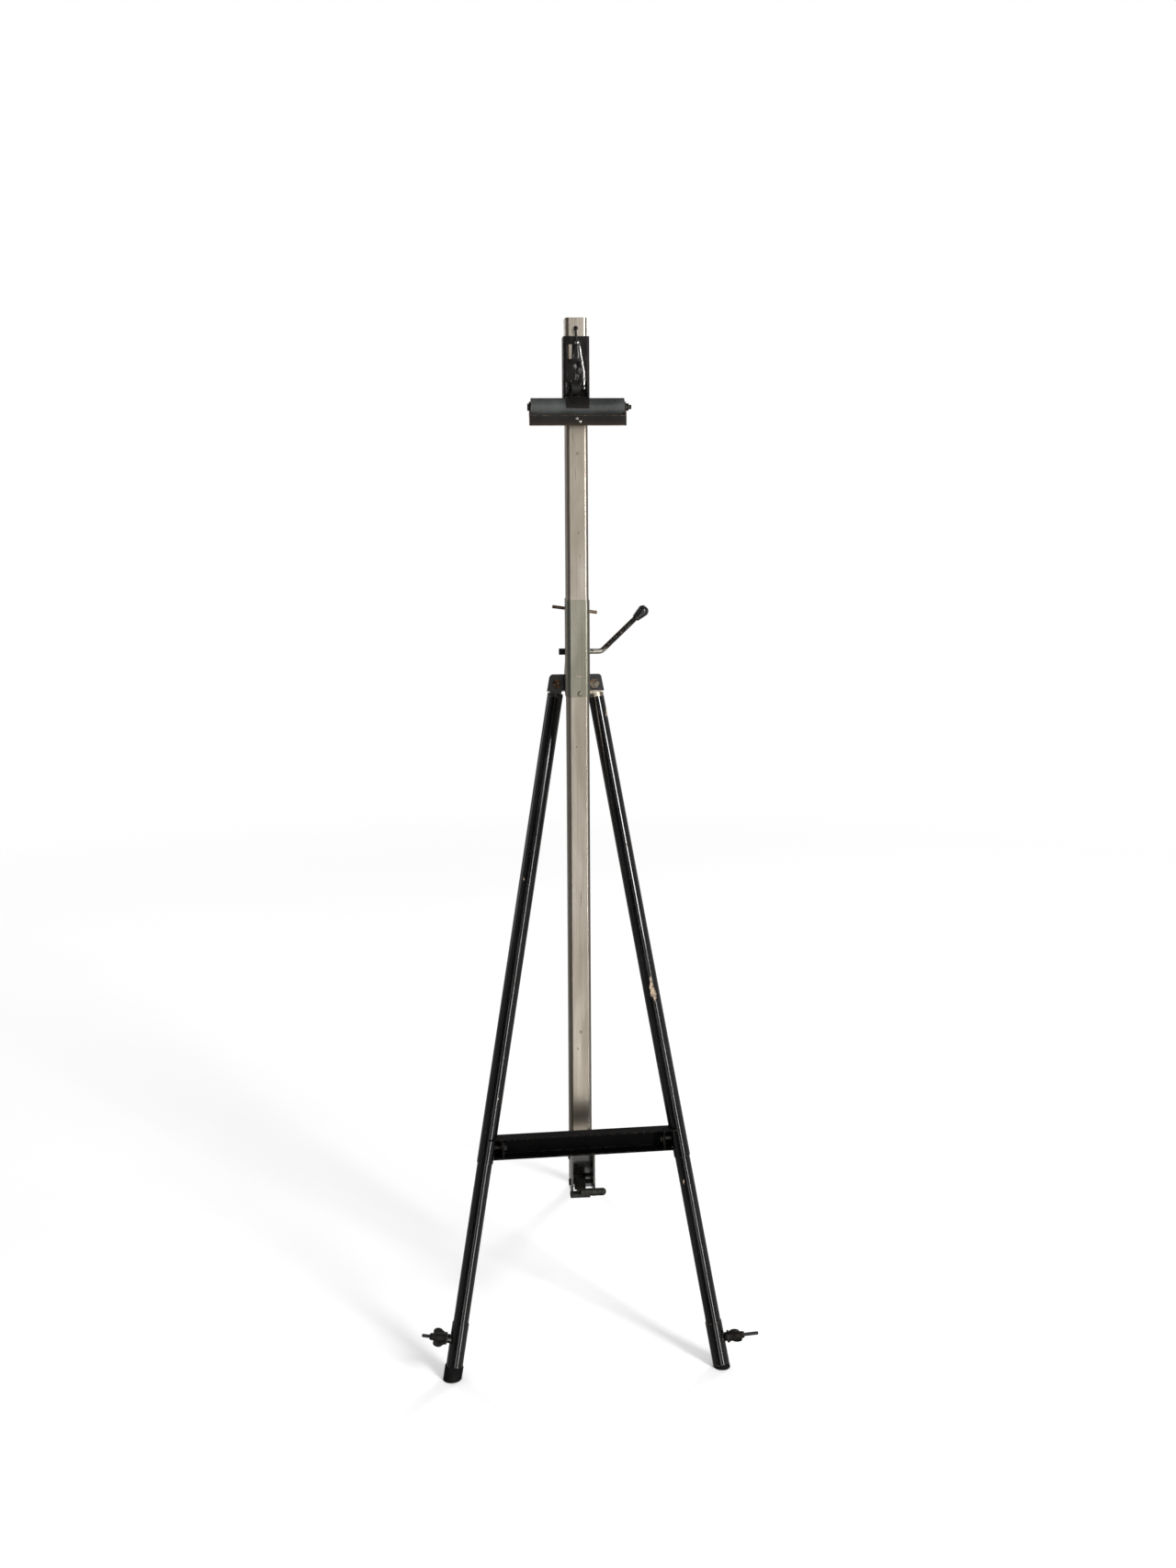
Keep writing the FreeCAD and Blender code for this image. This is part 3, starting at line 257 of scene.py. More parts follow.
# ---- the materials --------------------------------------------------------------------------
def streaky_metal(name, light, dark, tint, wear, grime, marks=()):
    """Plated tube: drawn lines along it, cloudy tarnish, brown pits and a few old scuffs."""
    m = Material(name, Metallic=1.0)
    cloud = m.noise((14, 14, 3.2), 5, 0.6, twist=0.6)
    lines = m.noise((620, 620, 5), 3, 0.5)
    fine = m.noise((2600, 2600, 22), 2, 0.5)
    colour = m.mix(m.remap(cloud, 0.36, 0.66), light, dark)
    colour = m.mix(m.times(m.remap(lines, 0.4, 0.72), 0.45), colour, tint)
    pit_field = m.remap(m.noise((30, 30, 9), 4, 0.6, shift=(3, 1, 2)), 0.5, 0.68)
    pits = m.times(m.remap(m.cells((640, 640, 520)), 0.24, 0.10), pit_field)
    stain = m.times(m.remap(m.noise((120, 120, 16), 6, 0.68, shift=(5, 9, 4)), 0.6, 0.74), 0.7)
    scuff = m.remap(m.noise((240, 240, 7), 3, 0.6, shift=(8, 2, 6)), 0.69, 0.76)
    rims = m.times(m.edges(0.0011, 0.10), m.remap(m.noise((90, 90, 30), 4, 0.6), 0.35, 0.6))
    dirt = m.most(m.times(pits, 0.7), m.times(stain, grime))
    for centre, reach in marks:
        blot = m.times(m.near(centre, reach), m.remap(m.noise((900, 900, 500), 3, 0.6), 0.3, 0.6))
        dirt = m.most(dirt, m.times(blot, 0.85))
    colour = m.mix(dirt, colour, OLD_DIRT)
    colour = m.mix(m.times(scuff, 0.5), colour, BRIGHT_SCUFF)
    colour = m.mix(m.times(rims, wear), colour, RIM_DIRT)
    m.set(Base_Color=colour)
    rough = m.blend(m.remap(cloud, 0.3, 0.7), 0.22, 0.31)
    rough = m.sum("ADD", rough, m.times(fine, 0.08))
    m.set(Roughness=m.most(m.blend(dirt, rough, 0.8), m.times(scuff, 0.36)))
    m.set(Metallic=m.blend(dirt, 0.97, 0.25))
    m.bump((lines, 0.00003), (fine, 0.000015), (m.flipped(dirt), 0.00003))
    return m.data


def enamel(name, base, gloss, turn=(0, 0, 0), chips=(), chipping=0.5, under=(0.20, 0.13, 0.075),
           bare=(0.50, 0.40, 0.29), coat=0.0, painted_reflection_below=None, shine=0.42):
    """Stoved black paint: orange peel, dust, fine scratches, and chips that show primer and rust.

    Below the given height it has a painted brown reflection, lighter than the black paint. A chip is a centre and
    its reach.
    """
    m = Material(name, Metallic=0.0)
    cloud = m.noise((26, 26, 10), 5, 0.6, turn=turn)
    peel = m.noise((700, 700, 620), 2, 0.5)
    scratch = m.remap(m.noise((900, 900, 16), 3, 0.6, turn=turn, shift=(2, 7, 1)), 0.66, 0.74)
    across = m.remap(m.noise((22, 22, 1500), 3, 0.6, turn=turn, shift=(4, 4, 2)), 0.69, 0.76)
    dust = m.remap(m.noise((1500, 1500, 1500), 5, 0.7), 0.58, 0.74)
    scratch = m.most(scratch, across)
    field = m.noise((170, 170, 60), 6, 0.66, turn=turn, shift=(1, 6, 3))
    edge = m.times(m.edges(0.0013, 0.12), m.remap(m.noise((260, 260, 130), 4, 0.62), 0.46, 0.60))
    chip = m.most(m.times(edge, chipping), m.remap(field, 0.735, 0.755))
    for centre, reach in chips:
        rag = m.remap(m.noise((210, 210, 90), 5, 0.7, turn=turn, shift=(7, 3, 5)), 0.34, 0.46)
        chip = m.most(chip, m.times(m.near(centre, reach), rag))
    rust = m.remap(m.noise((480, 480, 300), 5, 0.66), 0.42, 0.62)
    paint = m.mix(m.remap(cloud, 0.3, 0.75), base, tuple(min(1, c * 1.9 + 0.0006) for c in base))
    paint = m.mix(m.times(scratch, 0.35), paint, SCRATCH_GREY)
    paint = m.mix(m.times(dust, 0.008), paint, DUST)
    # Below the given height the colour gets a painted brown reflection, lighter than the black paint.
    if painted_reflection_below is not None:
        ragged = m.sum("ADD", m.axis("Z"), m.times(m.noise((240, 240, 240), 5, 0.7), 0.008))
        painted_reflection = m.times(m.remap(ragged, painted_reflection_below + 0.010, painted_reflection_below), 0.75)
        paint = m.mix(painted_reflection, paint, PAINTED_REFLECTION_BROWN)
    m.set(Base_Color=m.mix(chip, paint, m.mix(rust, under, bare)))
    m.set(Coat_Weight=m.blend(chip, coat, 0.0), Coat_Roughness=0.07)
    rough = m.blend(m.remap(cloud, 0.3, 0.7), gloss, gloss + 0.14)
    rough = m.sum("ADD", rough, m.times(scratch, 0.2))
    m.set(Roughness=m.blend(chip, rough, 0.72))
    m.set(Specular_IOR_Level=shine)
    m.bump((peel, 0.000035), (m.flipped(chip), 0.00016), (scratch, 0.00002))
    return m.data


def steel(name, light, dark, rough, rusty, metallic=1.0, dark_beyond=None, painted_shade_left_of=None):
    """Turned or bent steel: cloudy tarnish, tool lines, and rust that gathers in patches.

    Above the height dark_beyond it has browned almost black. Left of the given x it carries painted shade, almost
    black.
    """
    m = Material(name, Metallic=metallic)
    cloud = m.noise((160, 160, 160), 5, 0.62, twist=0.4)
    grain = m.noise((2400, 2400, 2400), 3, 0.6)
    patch = m.remap(m.noise((90, 90, 90), 6, 0.7, shift=(4, 2, 8)), 0.62 - 0.3 * rusty, 0.74)
    worn = m.edges(0.0009, 0.14)
    colour = m.mix(m.remap(cloud, 0.32, 0.7), light, dark)
    colour = m.mix(m.times(worn, 0.55), colour, tuple(min(1, c * 1.8 + 0.06) for c in light))
    rough_low, rough_high = rough, rough + 0.16
    # Left of the given x the colour is painted shade, almost black; above dark_beyond it is browned steel.
    if dark_beyond is not None or painted_shade_left_of is not None:
        if dark_beyond is not None:
            ragged = m.sum("ADD", m.axis("Z"), m.times(cloud, 0.012))
            browned_and_shaded = m.remap(ragged, dark_beyond + 0.004, dark_beyond + 0.010)
        else:
            browned_and_shaded = m.remap(m.axis("X"), painted_shade_left_of + 0.001, painted_shade_left_of - 0.001)
        speck = m.remap(m.noise((420, 420, 420), 5, 0.7), 0.54, 0.68)
        black = m.mix(speck, BROWNED_AND_SHADED_DARK, BROWNED_AND_SHADED_LIGHT)
        colour = m.mix(browned_and_shaded, colour, black)
        metallic = m.blend(browned_and_shaded, metallic, 0.0)
        rough_low, rough_high = m.blend(browned_and_shaded, rough, 0.50), m.blend(browned_and_shaded, rough + 0.16, 0.62)
        m.set(Specular_IOR_Level=0.12)
    rust = m.mix(m.remap(grain, 0.35, 0.65), RUST_DARK, RUST_LIGHT)
    patch = m.times(patch, min(1.0, rusty * 1.6))
    m.set(Base_Color=m.mix(patch, colour, rust))
    gloss = m.blend(m.remap(grain, 0.3, 0.7), rough_low, rough_high)
    m.set(Roughness=m.blend(patch, gloss, 0.85))
    m.set(Metallic=m.blend(patch, metallic, 0.1))
    m.bump((grain, 0.00002), (cloud, 0.00005), (patch, 0.00009), round_off=0.0003)
    return m.data


def resin(name):
    """Polished black moulded resin with handling haze and a few knocks."""
    m = Material(name)
    haze = m.noise((190, 190, 190), 5, 0.6)
    nick = m.remap(m.noise((420, 420, 420), 4, 0.66, shift=(2, 2, 9)), 0.70, 0.75)
    swirl = m.noise((1100, 1100, 1100), 3, 0.6)
    colour = m.mix(m.remap(haze, 0.35, 0.7), RESIN_DARK, RESIN_LIGHT)
    m.set(Base_Color=m.mix(m.times(nick, 0.5), colour, RESIN_NICK))
    m.set(Roughness=m.sum("ADD", m.blend(haze, 0.14, 0.36), m.times(nick, 0.3)))
    m.bump((swirl, 0.00001), (nick, 0.00006), round_off=0.0005)
    return m.data


def rubber(name):
    """Old black rubber: chalky bloom, scuffs and a coarse grain."""
    m = Material(name)
    bloom = m.noise((120, 120, 60), 6, 0.7)
    grain = m.noise((1400, 1400, 1400), 4, 0.65)
    scuff = m.remap(m.noise((260, 260, 120), 5, 0.7, shift=(6, 1, 1)), 0.62, 0.74)
    colour = m.mix(m.remap(bloom, 0.35, 0.72), RUBBER_DARK, RUBBER_LIGHT)
    m.set(Base_Color=m.mix(m.times(scuff, 0.3), colour, RUBBER_SCUFF))
    m.set(Roughness=m.blend(bloom, 0.55, 0.75), Specular_IOR_Level=0.08)
    m.bump((grain, 0.00007), (scuff, 0.00006), round_off=0.0008)
    return m.data


def moulded(name, base):
    """Dull moulded plastic."""
    m = Material(name)
    cloud = m.noise((200, 200, 200), 4, 0.6)
    grain = m.noise((2600, 2600, 2600), 2, 0.5)
    m.set(Base_Color=m.mix(cloud, base, tuple(c * 0.55 for c in base)))
    m.set(Roughness=m.blend(cloud, 0.42, 0.6))
    m.bump((grain, 0.00002), round_off=0.0004)
    return m.data


# ---- where marks go, and which material each node has --------------------------------------
MAST_LOW, MAST_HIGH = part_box("mast_tube")
MAST_X = (MAST_LOW.x + MAST_HIGH.x) / 2
MAST_Y = (MAST_LOW.y + MAST_HIGH.y) / 2
MAST_FACE = MAST_LOW.y
LEG_LOW, LEG_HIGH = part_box("right_upper_leg")
LEG_LEAN = math.atan2(LEG_HIGH.y - LEG_LOW.y, LEG_HIGH.z - LEG_LOW.z)
LEG_SPLAY = math.atan2(LEG_HIGH.x - LEG_LOW.x, LEG_HIGH.z - LEG_LOW.z)


def on_leg(side, share, across=0.0):
    """A point on the front of a leg, this share of the way down its upper tube."""
    x = LEG_LOW.x + LEG_RADIUS + (LEG_HIGH.x - LEG_LOW.x - 2 * LEG_RADIUS) * share
    y = LEG_HIGH.y - LEG_RADIUS - (LEG_HIGH.y - LEG_LOW.y - 2 * LEG_RADIUS) * share
    z = LEG_HIGH.z - (LEG_HIGH.z - LEG_LOW.z) * share
    return (side * x + across, y - LEG_RADIUS, z)


def mast_mark(height, across, size):
    """A blot on the mast's front face: a centre and its reach."""
    return ((MAST_X + across, MAST_FACE, height), size)


mast_marks = [
    mast_mark(1.323, 0.001, (0.0034, 0.004, 0.0036)),
    mast_mark(1.293, -0.0025, (0.0009, 0.004, 0.019)),
    mast_mark(1.205, 0.0015, (0.0026, 0.004, 0.0030)),
    mast_mark(1.166, 0.0035, (0.0011, 0.004, 0.012)),
    mast_mark(0.884, -0.003, (0.0022, 0.004, 0.0030)),
    mast_mark(0.655, 0.002, (0.0014, 0.004, 0.016)),
    mast_mark(0.455, 0.0005, (0.0034, 0.004, 0.0042)),
    mast_mark(0.430, -0.004, (0.0015, 0.004, 0.0030)),
]
MATERIALS = {
    "worn_nickel": streaky_metal("WornNickel", (0.42, 0.385, 0.34), (0.32, 0.285, 0.235),
                                 (0.24, 0.20, 0.155), 0.75, 0.65, mast_marks),
    "satin_nickel": streaky_metal("SatinNickel", (0.29, 0.285, 0.24), (0.225, 0.22, 0.175),
                                  (0.18, 0.165, 0.12), 0.60, 0.45),
    "black_enamel": enamel("BlackEnamel", (0.003, 0.003, 0.0033), 0.14, chipping=0.3, coat=0.3),
    "bar_enamel": enamel("BarEnamel", (0.024, 0.026, 0.025), 0.27, chipping=0.8,
                         under=(0.13, 0.085, 0.05)),
    "bare_steel": steel("BareSteel", (0.46, 0.44, 0.40), (0.27, 0.24, 0.20), 0.30, 0.35),
    "blackened_steel": steel("BlackenedSteel", (0.026, 0.025, 0.024), (0.009, 0.0085, 0.008), 0.40,
                             0.15, metallic=0.75),
    "phenolic": resin("BlackResin"),
    "brass_shoe": steel("Brass", (0.62, 0.44, 0.18), (0.40, 0.27, 0.11), 0.32, 0.05),
    "rubber": rubber("OldRubber"),
    "nylon": moulded("MouldedBlack", (0.035, 0.034, 0.033)),
}
leg_chips = {
    "left": [(on_leg(-1, 0.86, 0.004), (0.0010, 0.009, 0.0025)),
             (on_leg(-1, 0.40, -0.006), (0.0012, 0.009, 0.004))],
    "right": [(on_leg(1, 0.622, 0.0015), (0.0024, 0.011, 0.012)),
              (on_leg(1, 0.634, 0.0005), (0.0036, 0.011, 0.013)),
              (on_leg(1, 0.646, 0.0015), (0.0052, 0.011, 0.012)),
              (on_leg(1, 0.657, 0.0030), (0.0036, 0.011, 0.011)),
              (on_leg(1, 0.03, 0.0115), (0.0024, 0.014, 0.020)),
              (on_leg(1, 1.045, -0.005), (0.0018, 0.009, 0.0050)),
              (on_leg(1, 0.33, 0.003), (0.0011, 0.009, 0.005))],
}
leg_enamel = {}
for side, sign in (("left", -1), ("right", 1)):
    leg_enamel[side] = enamel("LegEnamel_" + side, (0.0013, 0.0013, 0.0015), 0.09,
                              turn=(LEG_LEAN, sign * LEG_SPLAY, 0), chips=leg_chips[side],
                              chipping=0.6, bare=(0.50, 0.41, 0.31), coat=0.7)
carriage_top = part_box("carriage_sleeve")[1].z
# Mid-grey patches low on the carriage front: partly worn paint, partly painted glints.
worn_and_glint_patches = []
for across, drop, size in ((-0.002, 0.045, 0.004), (0.005, 0.052, 0.005), (0.001, 0.062, 0.006),
                           (0.009, 0.071, 0.004), (-0.006, 0.071, 0.003), (0.004, 0.079, 0.005)):
    centre = (MAST_X + across, MAST_FACE - 0.002, carriage_top - drop)
    worn_and_glint_patches.append((centre, (size, 0.003, size * 1.6)))
carriage_enamel = enamel("CarriageEnamel", (0.0065, 0.0055, 0.0055), 0.28, chips=worn_and_glint_patches,
                         chipping=0.7, under=(0.022, 0.021, 0.02), bare=(0.20, 0.19, 0.18),
                         shine=0.08)
lip_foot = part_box("top_lip")[0].z
# The lip's lowest band carries a painted brown reflection.
lip_enamel = enamel("LipEnamel", (0.0055, 0.0048, 0.0042), 0.36, chipping=1.0,
                    under=(0.085, 0.052, 0.03), bare=(0.28, 0.19, 0.12),
                    painted_reflection_below=lip_foot + 0.002, shine=0.14)
crossbar_enamel = enamel("CrossbarEnamel", (0.0009, 0.0009, 0.001), 0.42, chipping=0.12,
                         shine=0.05)
bracket_enamel = enamel("BracketEnamel", (0.0065, 0.0065, 0.007), 0.26, chipping=0.8)
lug_steel = steel("WornLug", (0.050, 0.050, 0.043), (0.020, 0.019, 0.016), 0.46, 0.12, 0.85)
pin_steel = steel("RustyPin", (0.30, 0.26, 0.20), (0.13, 0.09, 0.055), 0.42, 0.85)
collar_steel = steel("WornCollar", (0.62, 0.58, 0.50), (0.36, 0.28, 0.20), 0.20, 0.45)
# The hinge bolt left of the mast carries painted shade, almost black; the right one keeps its steel.
bolt_steel = steel("HingeBolts", (0.20, 0.18, 0.145), (0.05, 0.04, 0.032), 0.26, 0.55,
                   painted_shade_left_of=MAST_X)
bright_steel = steel("BrightWire", (0.55, 0.54, 0.52), (0.26, 0.245, 0.225), 0.16, 0.18)
lever_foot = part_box("clamp_lever_rod")[0].z
lever_steel = steel("LeverSteel", (0.60, 0.57, 0.51), (0.40, 0.36, 0.30), 0.22, 0.15,
                    dark_beyond=lever_foot + 0.005)

slot_of = {part["node"]: part["material_slot"] for part in RECORD["subparts"]}
own_material = {
    "left_upper_leg": leg_enamel["left"], "left_lower_leg": leg_enamel["left"],
    "left_foot_sleeve": leg_enamel["left"], "right_upper_leg": leg_enamel["right"],
    "right_lower_leg": leg_enamel["right"], "right_foot_sleeve": leg_enamel["right"],
    "carriage_sleeve": carriage_enamel, "bar_strap": carriage_enamel,
    "left_leg_bracket": bracket_enamel, "right_leg_bracket": bracket_enamel,
    "head_yoke": bracket_enamel, "pedal_cam": lug_steel, "pedal_handle": lug_steel,
    "cross_pin": pin_steel, "top_lip": lip_enamel, "left_leg_fitting": bracket_enamel,
    "right_leg_fitting": collar_steel, "clamp_lever_rod": lever_steel,
    "top_bar_axle": MATERIALS["blackened_steel"], "latch_wire": bright_steel,
    "hinge_bolts": bolt_steel, "crossbar": crossbar_enamel,
    "crossbar_end_plates": crossbar_enamel,
}


def wear(piece, material):
    """Put one material on a piece."""
    piece.data.materials.clear()
    piece.data.materials.append(material)


for node, piece in NODES.items():
    wear(piece, own_material.get(node, MATERIALS[slot_of[node]]))


# ---- mesh helpers ---------------------------------------------------------------------------
def piece_from(name, bm, body, material, smooth_angle=35):
    """Make a piece from a bmesh that is already in place, and let it ride on a body."""
    bmesh.ops.remove_doubles(bm, verts=bm.verts, dist=1e-7)
    bmesh.ops.recalc_face_normals(bm, faces=bm.faces)
    mesh = bpy.data.meshes.new(name)
    bm.to_mesh(mesh)
    bm.free()
    made = bpy.data.objects.new(name, mesh)
    SCENE.collection.objects.link(made)
    wear(made, material)
    mesh.shade_smooth()
    mesh.set_sharp_from_angle(angle=math.radians(smooth_angle))
    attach(made, body)
    return made


def tube_faces(bm, rings):
    """Join rings of equal count, one after the other."""
    for lower, upper in zip(rings, rings[1:]):
        for i in range(len(lower)):
            j = (i + 1) % len(lower)
            bm.faces.new((lower[i], lower[j], upper[j], upper[i]))


def axes_along(direction):
    """A rotation that carries +Z to a direction."""
    return Vector(direction).to_track_quat("Z", "Y").to_matrix().to_4x4()


def lathe(bm, profile, steps, place):
    """Turn (radius, height) points about Z, then move the result."""
    rings = []
    for radius, height in profile:
        if radius < 1e-9:
            rings.append([bm.verts.new(place @ Vector((0, 0, height)))] * steps)
            continue
        ring = []
        for i in range(steps):
            turn = 2 * math.pi * i / steps
            point = Vector((radius * math.cos(turn), radius * math.sin(turn), height))
            ring.append(bm.verts.new(place @ point))
        rings.append(ring)
    for lower, upper in zip(rings, rings[1:]):
        for i in range(steps):
            j = (i + 1) % steps
            corners = []
            for vert in (lower[i], lower[j], upper[j], upper[i]):
                if vert not in corners:
                    corners.append(vert)
            if len(corners) > 2:
                bm.faces.new(corners)


def thread(bm, start, direction, length, radius, pitch, steps=20):
    """A screw thread: rounded ridges that climb a rod, with a chamfered free end."""
    place = Matrix.Translation(start) @ axes_along(direction)
    depth = pitch * 0.5
    rows = int(length / pitch * 6)
    chamfer = pitch * 1.3
    grid = []
    for row in range(rows + 1):
        ring = []
        for i in range(steps):
            height = length * row / rows
            phase = (height / pitch - i / steps) % 1.0
            ridge = 0.5 + 0.5 * math.cos(2 * math.pi * phase)
            reach = radius - depth * (1 - ridge)
            reach -= max(0.0, chamfer - (length - height)) * 0.55
            turn = 2 * math.pi * i / steps
            ring.append(bm.verts.new(place @ Vector((reach * math.cos(turn),
                                                     reach * math.sin(turn), height))))
        grid.append(ring)
    tube_faces(bm, grid)
    bm.faces.new(list(reversed(grid[0])))
    bm.faces.new(grid[-1])


def screw_head(bm, centre, outward, radius, height, slot_turn):
    """A domed head with a straight slot."""
    steps = 32
    profile = [(radius * 0.98, -height * 0.15), (radius, 0.0), (radius * 0.985, height * 0.30)]
    for i in range(1, 8):
        angle = math.pi / 2 * i / 8
        profile.append((radius * 0.985 * math.cos(angle), height * (0.30 + 0.70 * math.sin(angle))))
    profile.append((0.0, height))
    place = Matrix.Translation(centre) @ axes_along(outward)
    place = place @ Matrix.Rotation(slot_turn, 4, "Z")
    lathe(bm, profile, steps, place)
    inverse = place.inverted()
    for vert in bm.verts:
        local = inverse @ vert.co
        inside = abs(local.z) < height * 1.2 and math.hypot(local.x, local.y) < radius * 1.01
        if inside and abs(local.y) < radius * 0.17 and local.z > height * 0.36:
            local.z = height * 0.36
            vert.co = place @ local


def cast_piece(name, bm, body, material, voxel, smooth=6):
    """Run separate shells together into one softly rounded casting."""
    mesh = bpy.data.meshes.new(name)
    bmesh.ops.recalc_face_normals(bm, faces=bm.faces)
    bm.to_mesh(mesh)
    bm.free()
    raw = bpy.data.objects.new(name, mesh)
    SCENE.collection.objects.link(raw)
    remesh = raw.modifiers.new("Remesh", "REMESH")
    remesh.mode = "VOXEL"
    remesh.voxel_size = voxel
    soften = raw.modifiers.new("Smooth", "SMOOTH")
    soften.iterations = smooth
    soften.factor = 0.5
    bpy.context.view_layer.update()
    evaluated = raw.evaluated_get(bpy.context.evaluated_depsgraph_get())
    raw_mesh = bpy.data.meshes.new_from_object(evaluated)
    raw.modifiers.clear()
    raw.data = raw_mesh
    wear(raw, material)
    raw.data.shade_smooth()
    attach(raw, body)
    return raw


# ---- foot screws and wing nuts --------------------------------------------------------------
def flat_outline(bm, points, thickness, place):
    """A plate from an outline in its own XZ plane."""
    front = [bm.verts.new(place @ Vector((x, -thickness / 2, z))) for x, z in points]
    back = [bm.verts.new(place @ Vector((x, thickness / 2, z))) for x, z in points]
    bm.faces.new(front)
    bm.faces.new(list(reversed(back)))
    for i in range(len(points)):
        j = (i + 1) % len(points)
        bm.faces.new((front[j], front[i], back[i], back[j]))


def wing_outline(side, base_half, span_half, height):
    """One wing: from the hub's base, out to a rounded ear and back to the hub."""
    points = [(0.0, 0.0006), (base_half * 0.9, 0.0006)]
    across, up = EAR_RADIUS
    for i in range(9):
        angle = math.radians(-65 + 165 * i / 8)
        points.append((span_half - across + across * math.cos(angle),
                       height - up + up * math.sin(angle)))
    points += [(base_half * 0.55, height * 0.94), (0.0, height * 0.97)]
    return [(side * x, z) for x, z in points][::side]


for side in ("left", "right"):
    joint = JOINTS[side + "_wing_nut_turn"]
    axis = Vector(joint["axis"]).normalized()
    root = Vector(joint["pos_m"])
    stud_vertices = [vertex.co for vertex in NODES[side + "_foot_stud"].data.vertices]
    stud_length = max((co - root).dot(axis) for co in stud_vertices)
    bm = bmesh.new()
    thread(bm, root - axis * THREAD_SUNK, axis, stud_length + THREAD_SUNK, THREAD_RADIUS,
           THREAD_PITCH)
    stud = piece_from(side + "_stud_thread", bm, side + "_foot",
                      MATERIALS["blackened_steel"], 60)
    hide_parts(side + "_foot_stud")

    nut_vertices = [vertex.co for vertex in NODES[side + "_wing_nut"].data.vertices]
    near = min((co - root).dot(axis) for co in nut_vertices)
    far = max((co - root).dot(axis) for co in nut_vertices)
    widest = max(nut_vertices, key=lambda co: (co - root - axis * (co - root).dot(axis)).length)
    span = widest - root - axis * (widest - root).dot(axis)
    wing_axis = span.normalized()
    third = axis.cross(wing_axis)
    place = Matrix((
        (wing_axis.x, third.x, axis.x, 0), (wing_axis.y, third.y, axis.y, 0),
        (wing_axis.z, third.z, axis.z, 0), (0, 0, 0, 1)))
    place = Matrix.Translation(root + axis * near) @ place
    length = far - near
    bm = bmesh.new()
    hub = [(0.0, 0.0), (0.0080, 0.0), (0.0085, 0.0007), (0.0085, 0.0022), (0.0072, 0.0030),
           (0.0066, 0.0050), (0.0058, length * 0.55), (0.0049, length * 0.80),
           (0.0045, length - 0.0008), (0.0038, length), (0.0, length)]
    lathe(bm, hub, 40, place)
    span_half = span.length - 0.0004
    for wing_side in (-1, 1):
        outline = wing_outline(wing_side, WING_BASE, span_half, WING_HEIGHT)
        flat_outline(bm, outline, WING_THICKNESS, place)
    nut = cast_piece(side + "_wing_nut_cast", bm, side + "_wing_nut",
                     MATERIALS["blackened_steel"], NUT_VOXEL)
    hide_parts(side + "_wing_nut")


# ---- screw heads ----------------------------------------------------------------------------
def node_parts(name):
    """The separate lumps of a node, as lists of points."""
    mesh = NODES[name].data
    parent = list(range(len(mesh.vertices)))

    def root_of(i):
        while parent[i] != i:
            parent[i] = parent[parent[i]]
            i = parent[i]
        return i

    places = {}
    for i, vertex in enumerate(mesh.vertices):
        key = tuple(round(c, 6) for c in vertex.co)
        parent[root_of(i)] = root_of(places.setdefault(key, i))
    for edge in mesh.edges:
        parent[root_of(edge.vertices[0])] = root_of(edge.vertices[1])
    lumps = {}
    for i, vertex in enumerate(mesh.vertices):
        lumps.setdefault(root_of(i), []).append(vertex.co)
    return list(lumps.values())


def replace_screws(node, body, material, turns):
    """Put slotted domed heads where a node has plain ones, on faces that look along -Y."""
    bm = bmesh.new()
    for lump, turn in zip(node_parts(node), turns):
        lows = [min(co[i] for co in lump) for i in range(3)]
        highs = [max(co[i] for co in lump) for i in range(3)]
        radius = (highs[0] - lows[0]) / 2
        height = highs[1] - lows[1]
        centre = Vector(((lows[0] + highs[0]) / 2, highs[1], (lows[2] + highs[2]) / 2))
        head = bmesh.new()
        screw_head(head, centre, (0, -1, 0), radius, height, turn)
        spare = bpy.data.meshes.new("spare")
        head.to_mesh(spare)
        head.free()
        bm.from_mesh(spare)
        bpy.data.meshes.remove(spare)
    made = piece_from(node + "_slotted", bm, body, material, 40)
    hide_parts(node)


replace_screws("lip_screws", "top_lip", MATERIALS["bare_steel"], (0.5, 2.2))
replace_screws("guide_screw", "frame", MATERIALS["blackened_steel"], (1.1,))


# ---- weld beads on the head -----------------------------------------------------------------
def bead(bm, start, end, radius, ripples, outward):
    """A rippled weld bead along a straight joint."""
    start, end = Vector(start), Vector(end)
    along = end - start
    place = Matrix.Translation(start) @ axes_along(along)
    rows = ripples * 6
    side = (place.to_3x3().inverted() @ Vector(outward)).normalized()
    steps = 12
    grid = []
    for row in range(rows + 1):
        share = row / rows
        ends = min(1.0, 6 * share, 6 * (1 - share)) ** 0.5
        ripple = 0.86 + 0.14 * abs(math.sin(math.pi * ripples * share))
        wobble = 0.08 * noise.noise(Vector((share * 9, radius * 4000, start.x * 50)))
        reach = max(0.02, ends) * radius * (ripple + wobble)
        ring = []
        for i in range(steps):
            turn = 2 * math.pi * i / steps
            local = Vector((reach * math.cos(turn), reach * math.sin(turn), along.length * share))
            ring.append(bm.verts.new(place @ (local + side * radius * 0.1)))
        grid.append(ring)
    tube_faces(bm, grid)
    bm.faces.new(list(reversed(grid[0])))
    bm.faces.new(grid[-1])


weld_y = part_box("head_sleeve")[1].y + 0.0006
yoke_low, yoke_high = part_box("head_yoke")
bm = bmesh.new()
for sign in (-1, 1):
    weld_x = sign * (yoke_high.x - 0.0002)
    for start_up, end_up in ((0.004, 0.030), (0.088, 0.116)):
        bead(bm, (weld_x, weld_y, yoke_low.z + start_up), (weld_x, weld_y, yoke_low.z + end_up),
             BEAD_RADIUS, BEAD_RIPPLES, (sign, 0, 0))
piece_from("head_weld", bm, "frame", bracket_enamel, 80)


# ---- studio ---------------------------------------------------------------------------------
FLOOR_RADIUS = 40.0
FLOOR_DROP = 0.0005        # keeps the floor just under the rubber tips
FLOOR_FADE = (1.2, 4.2)    # from plain floor to the same white as the background


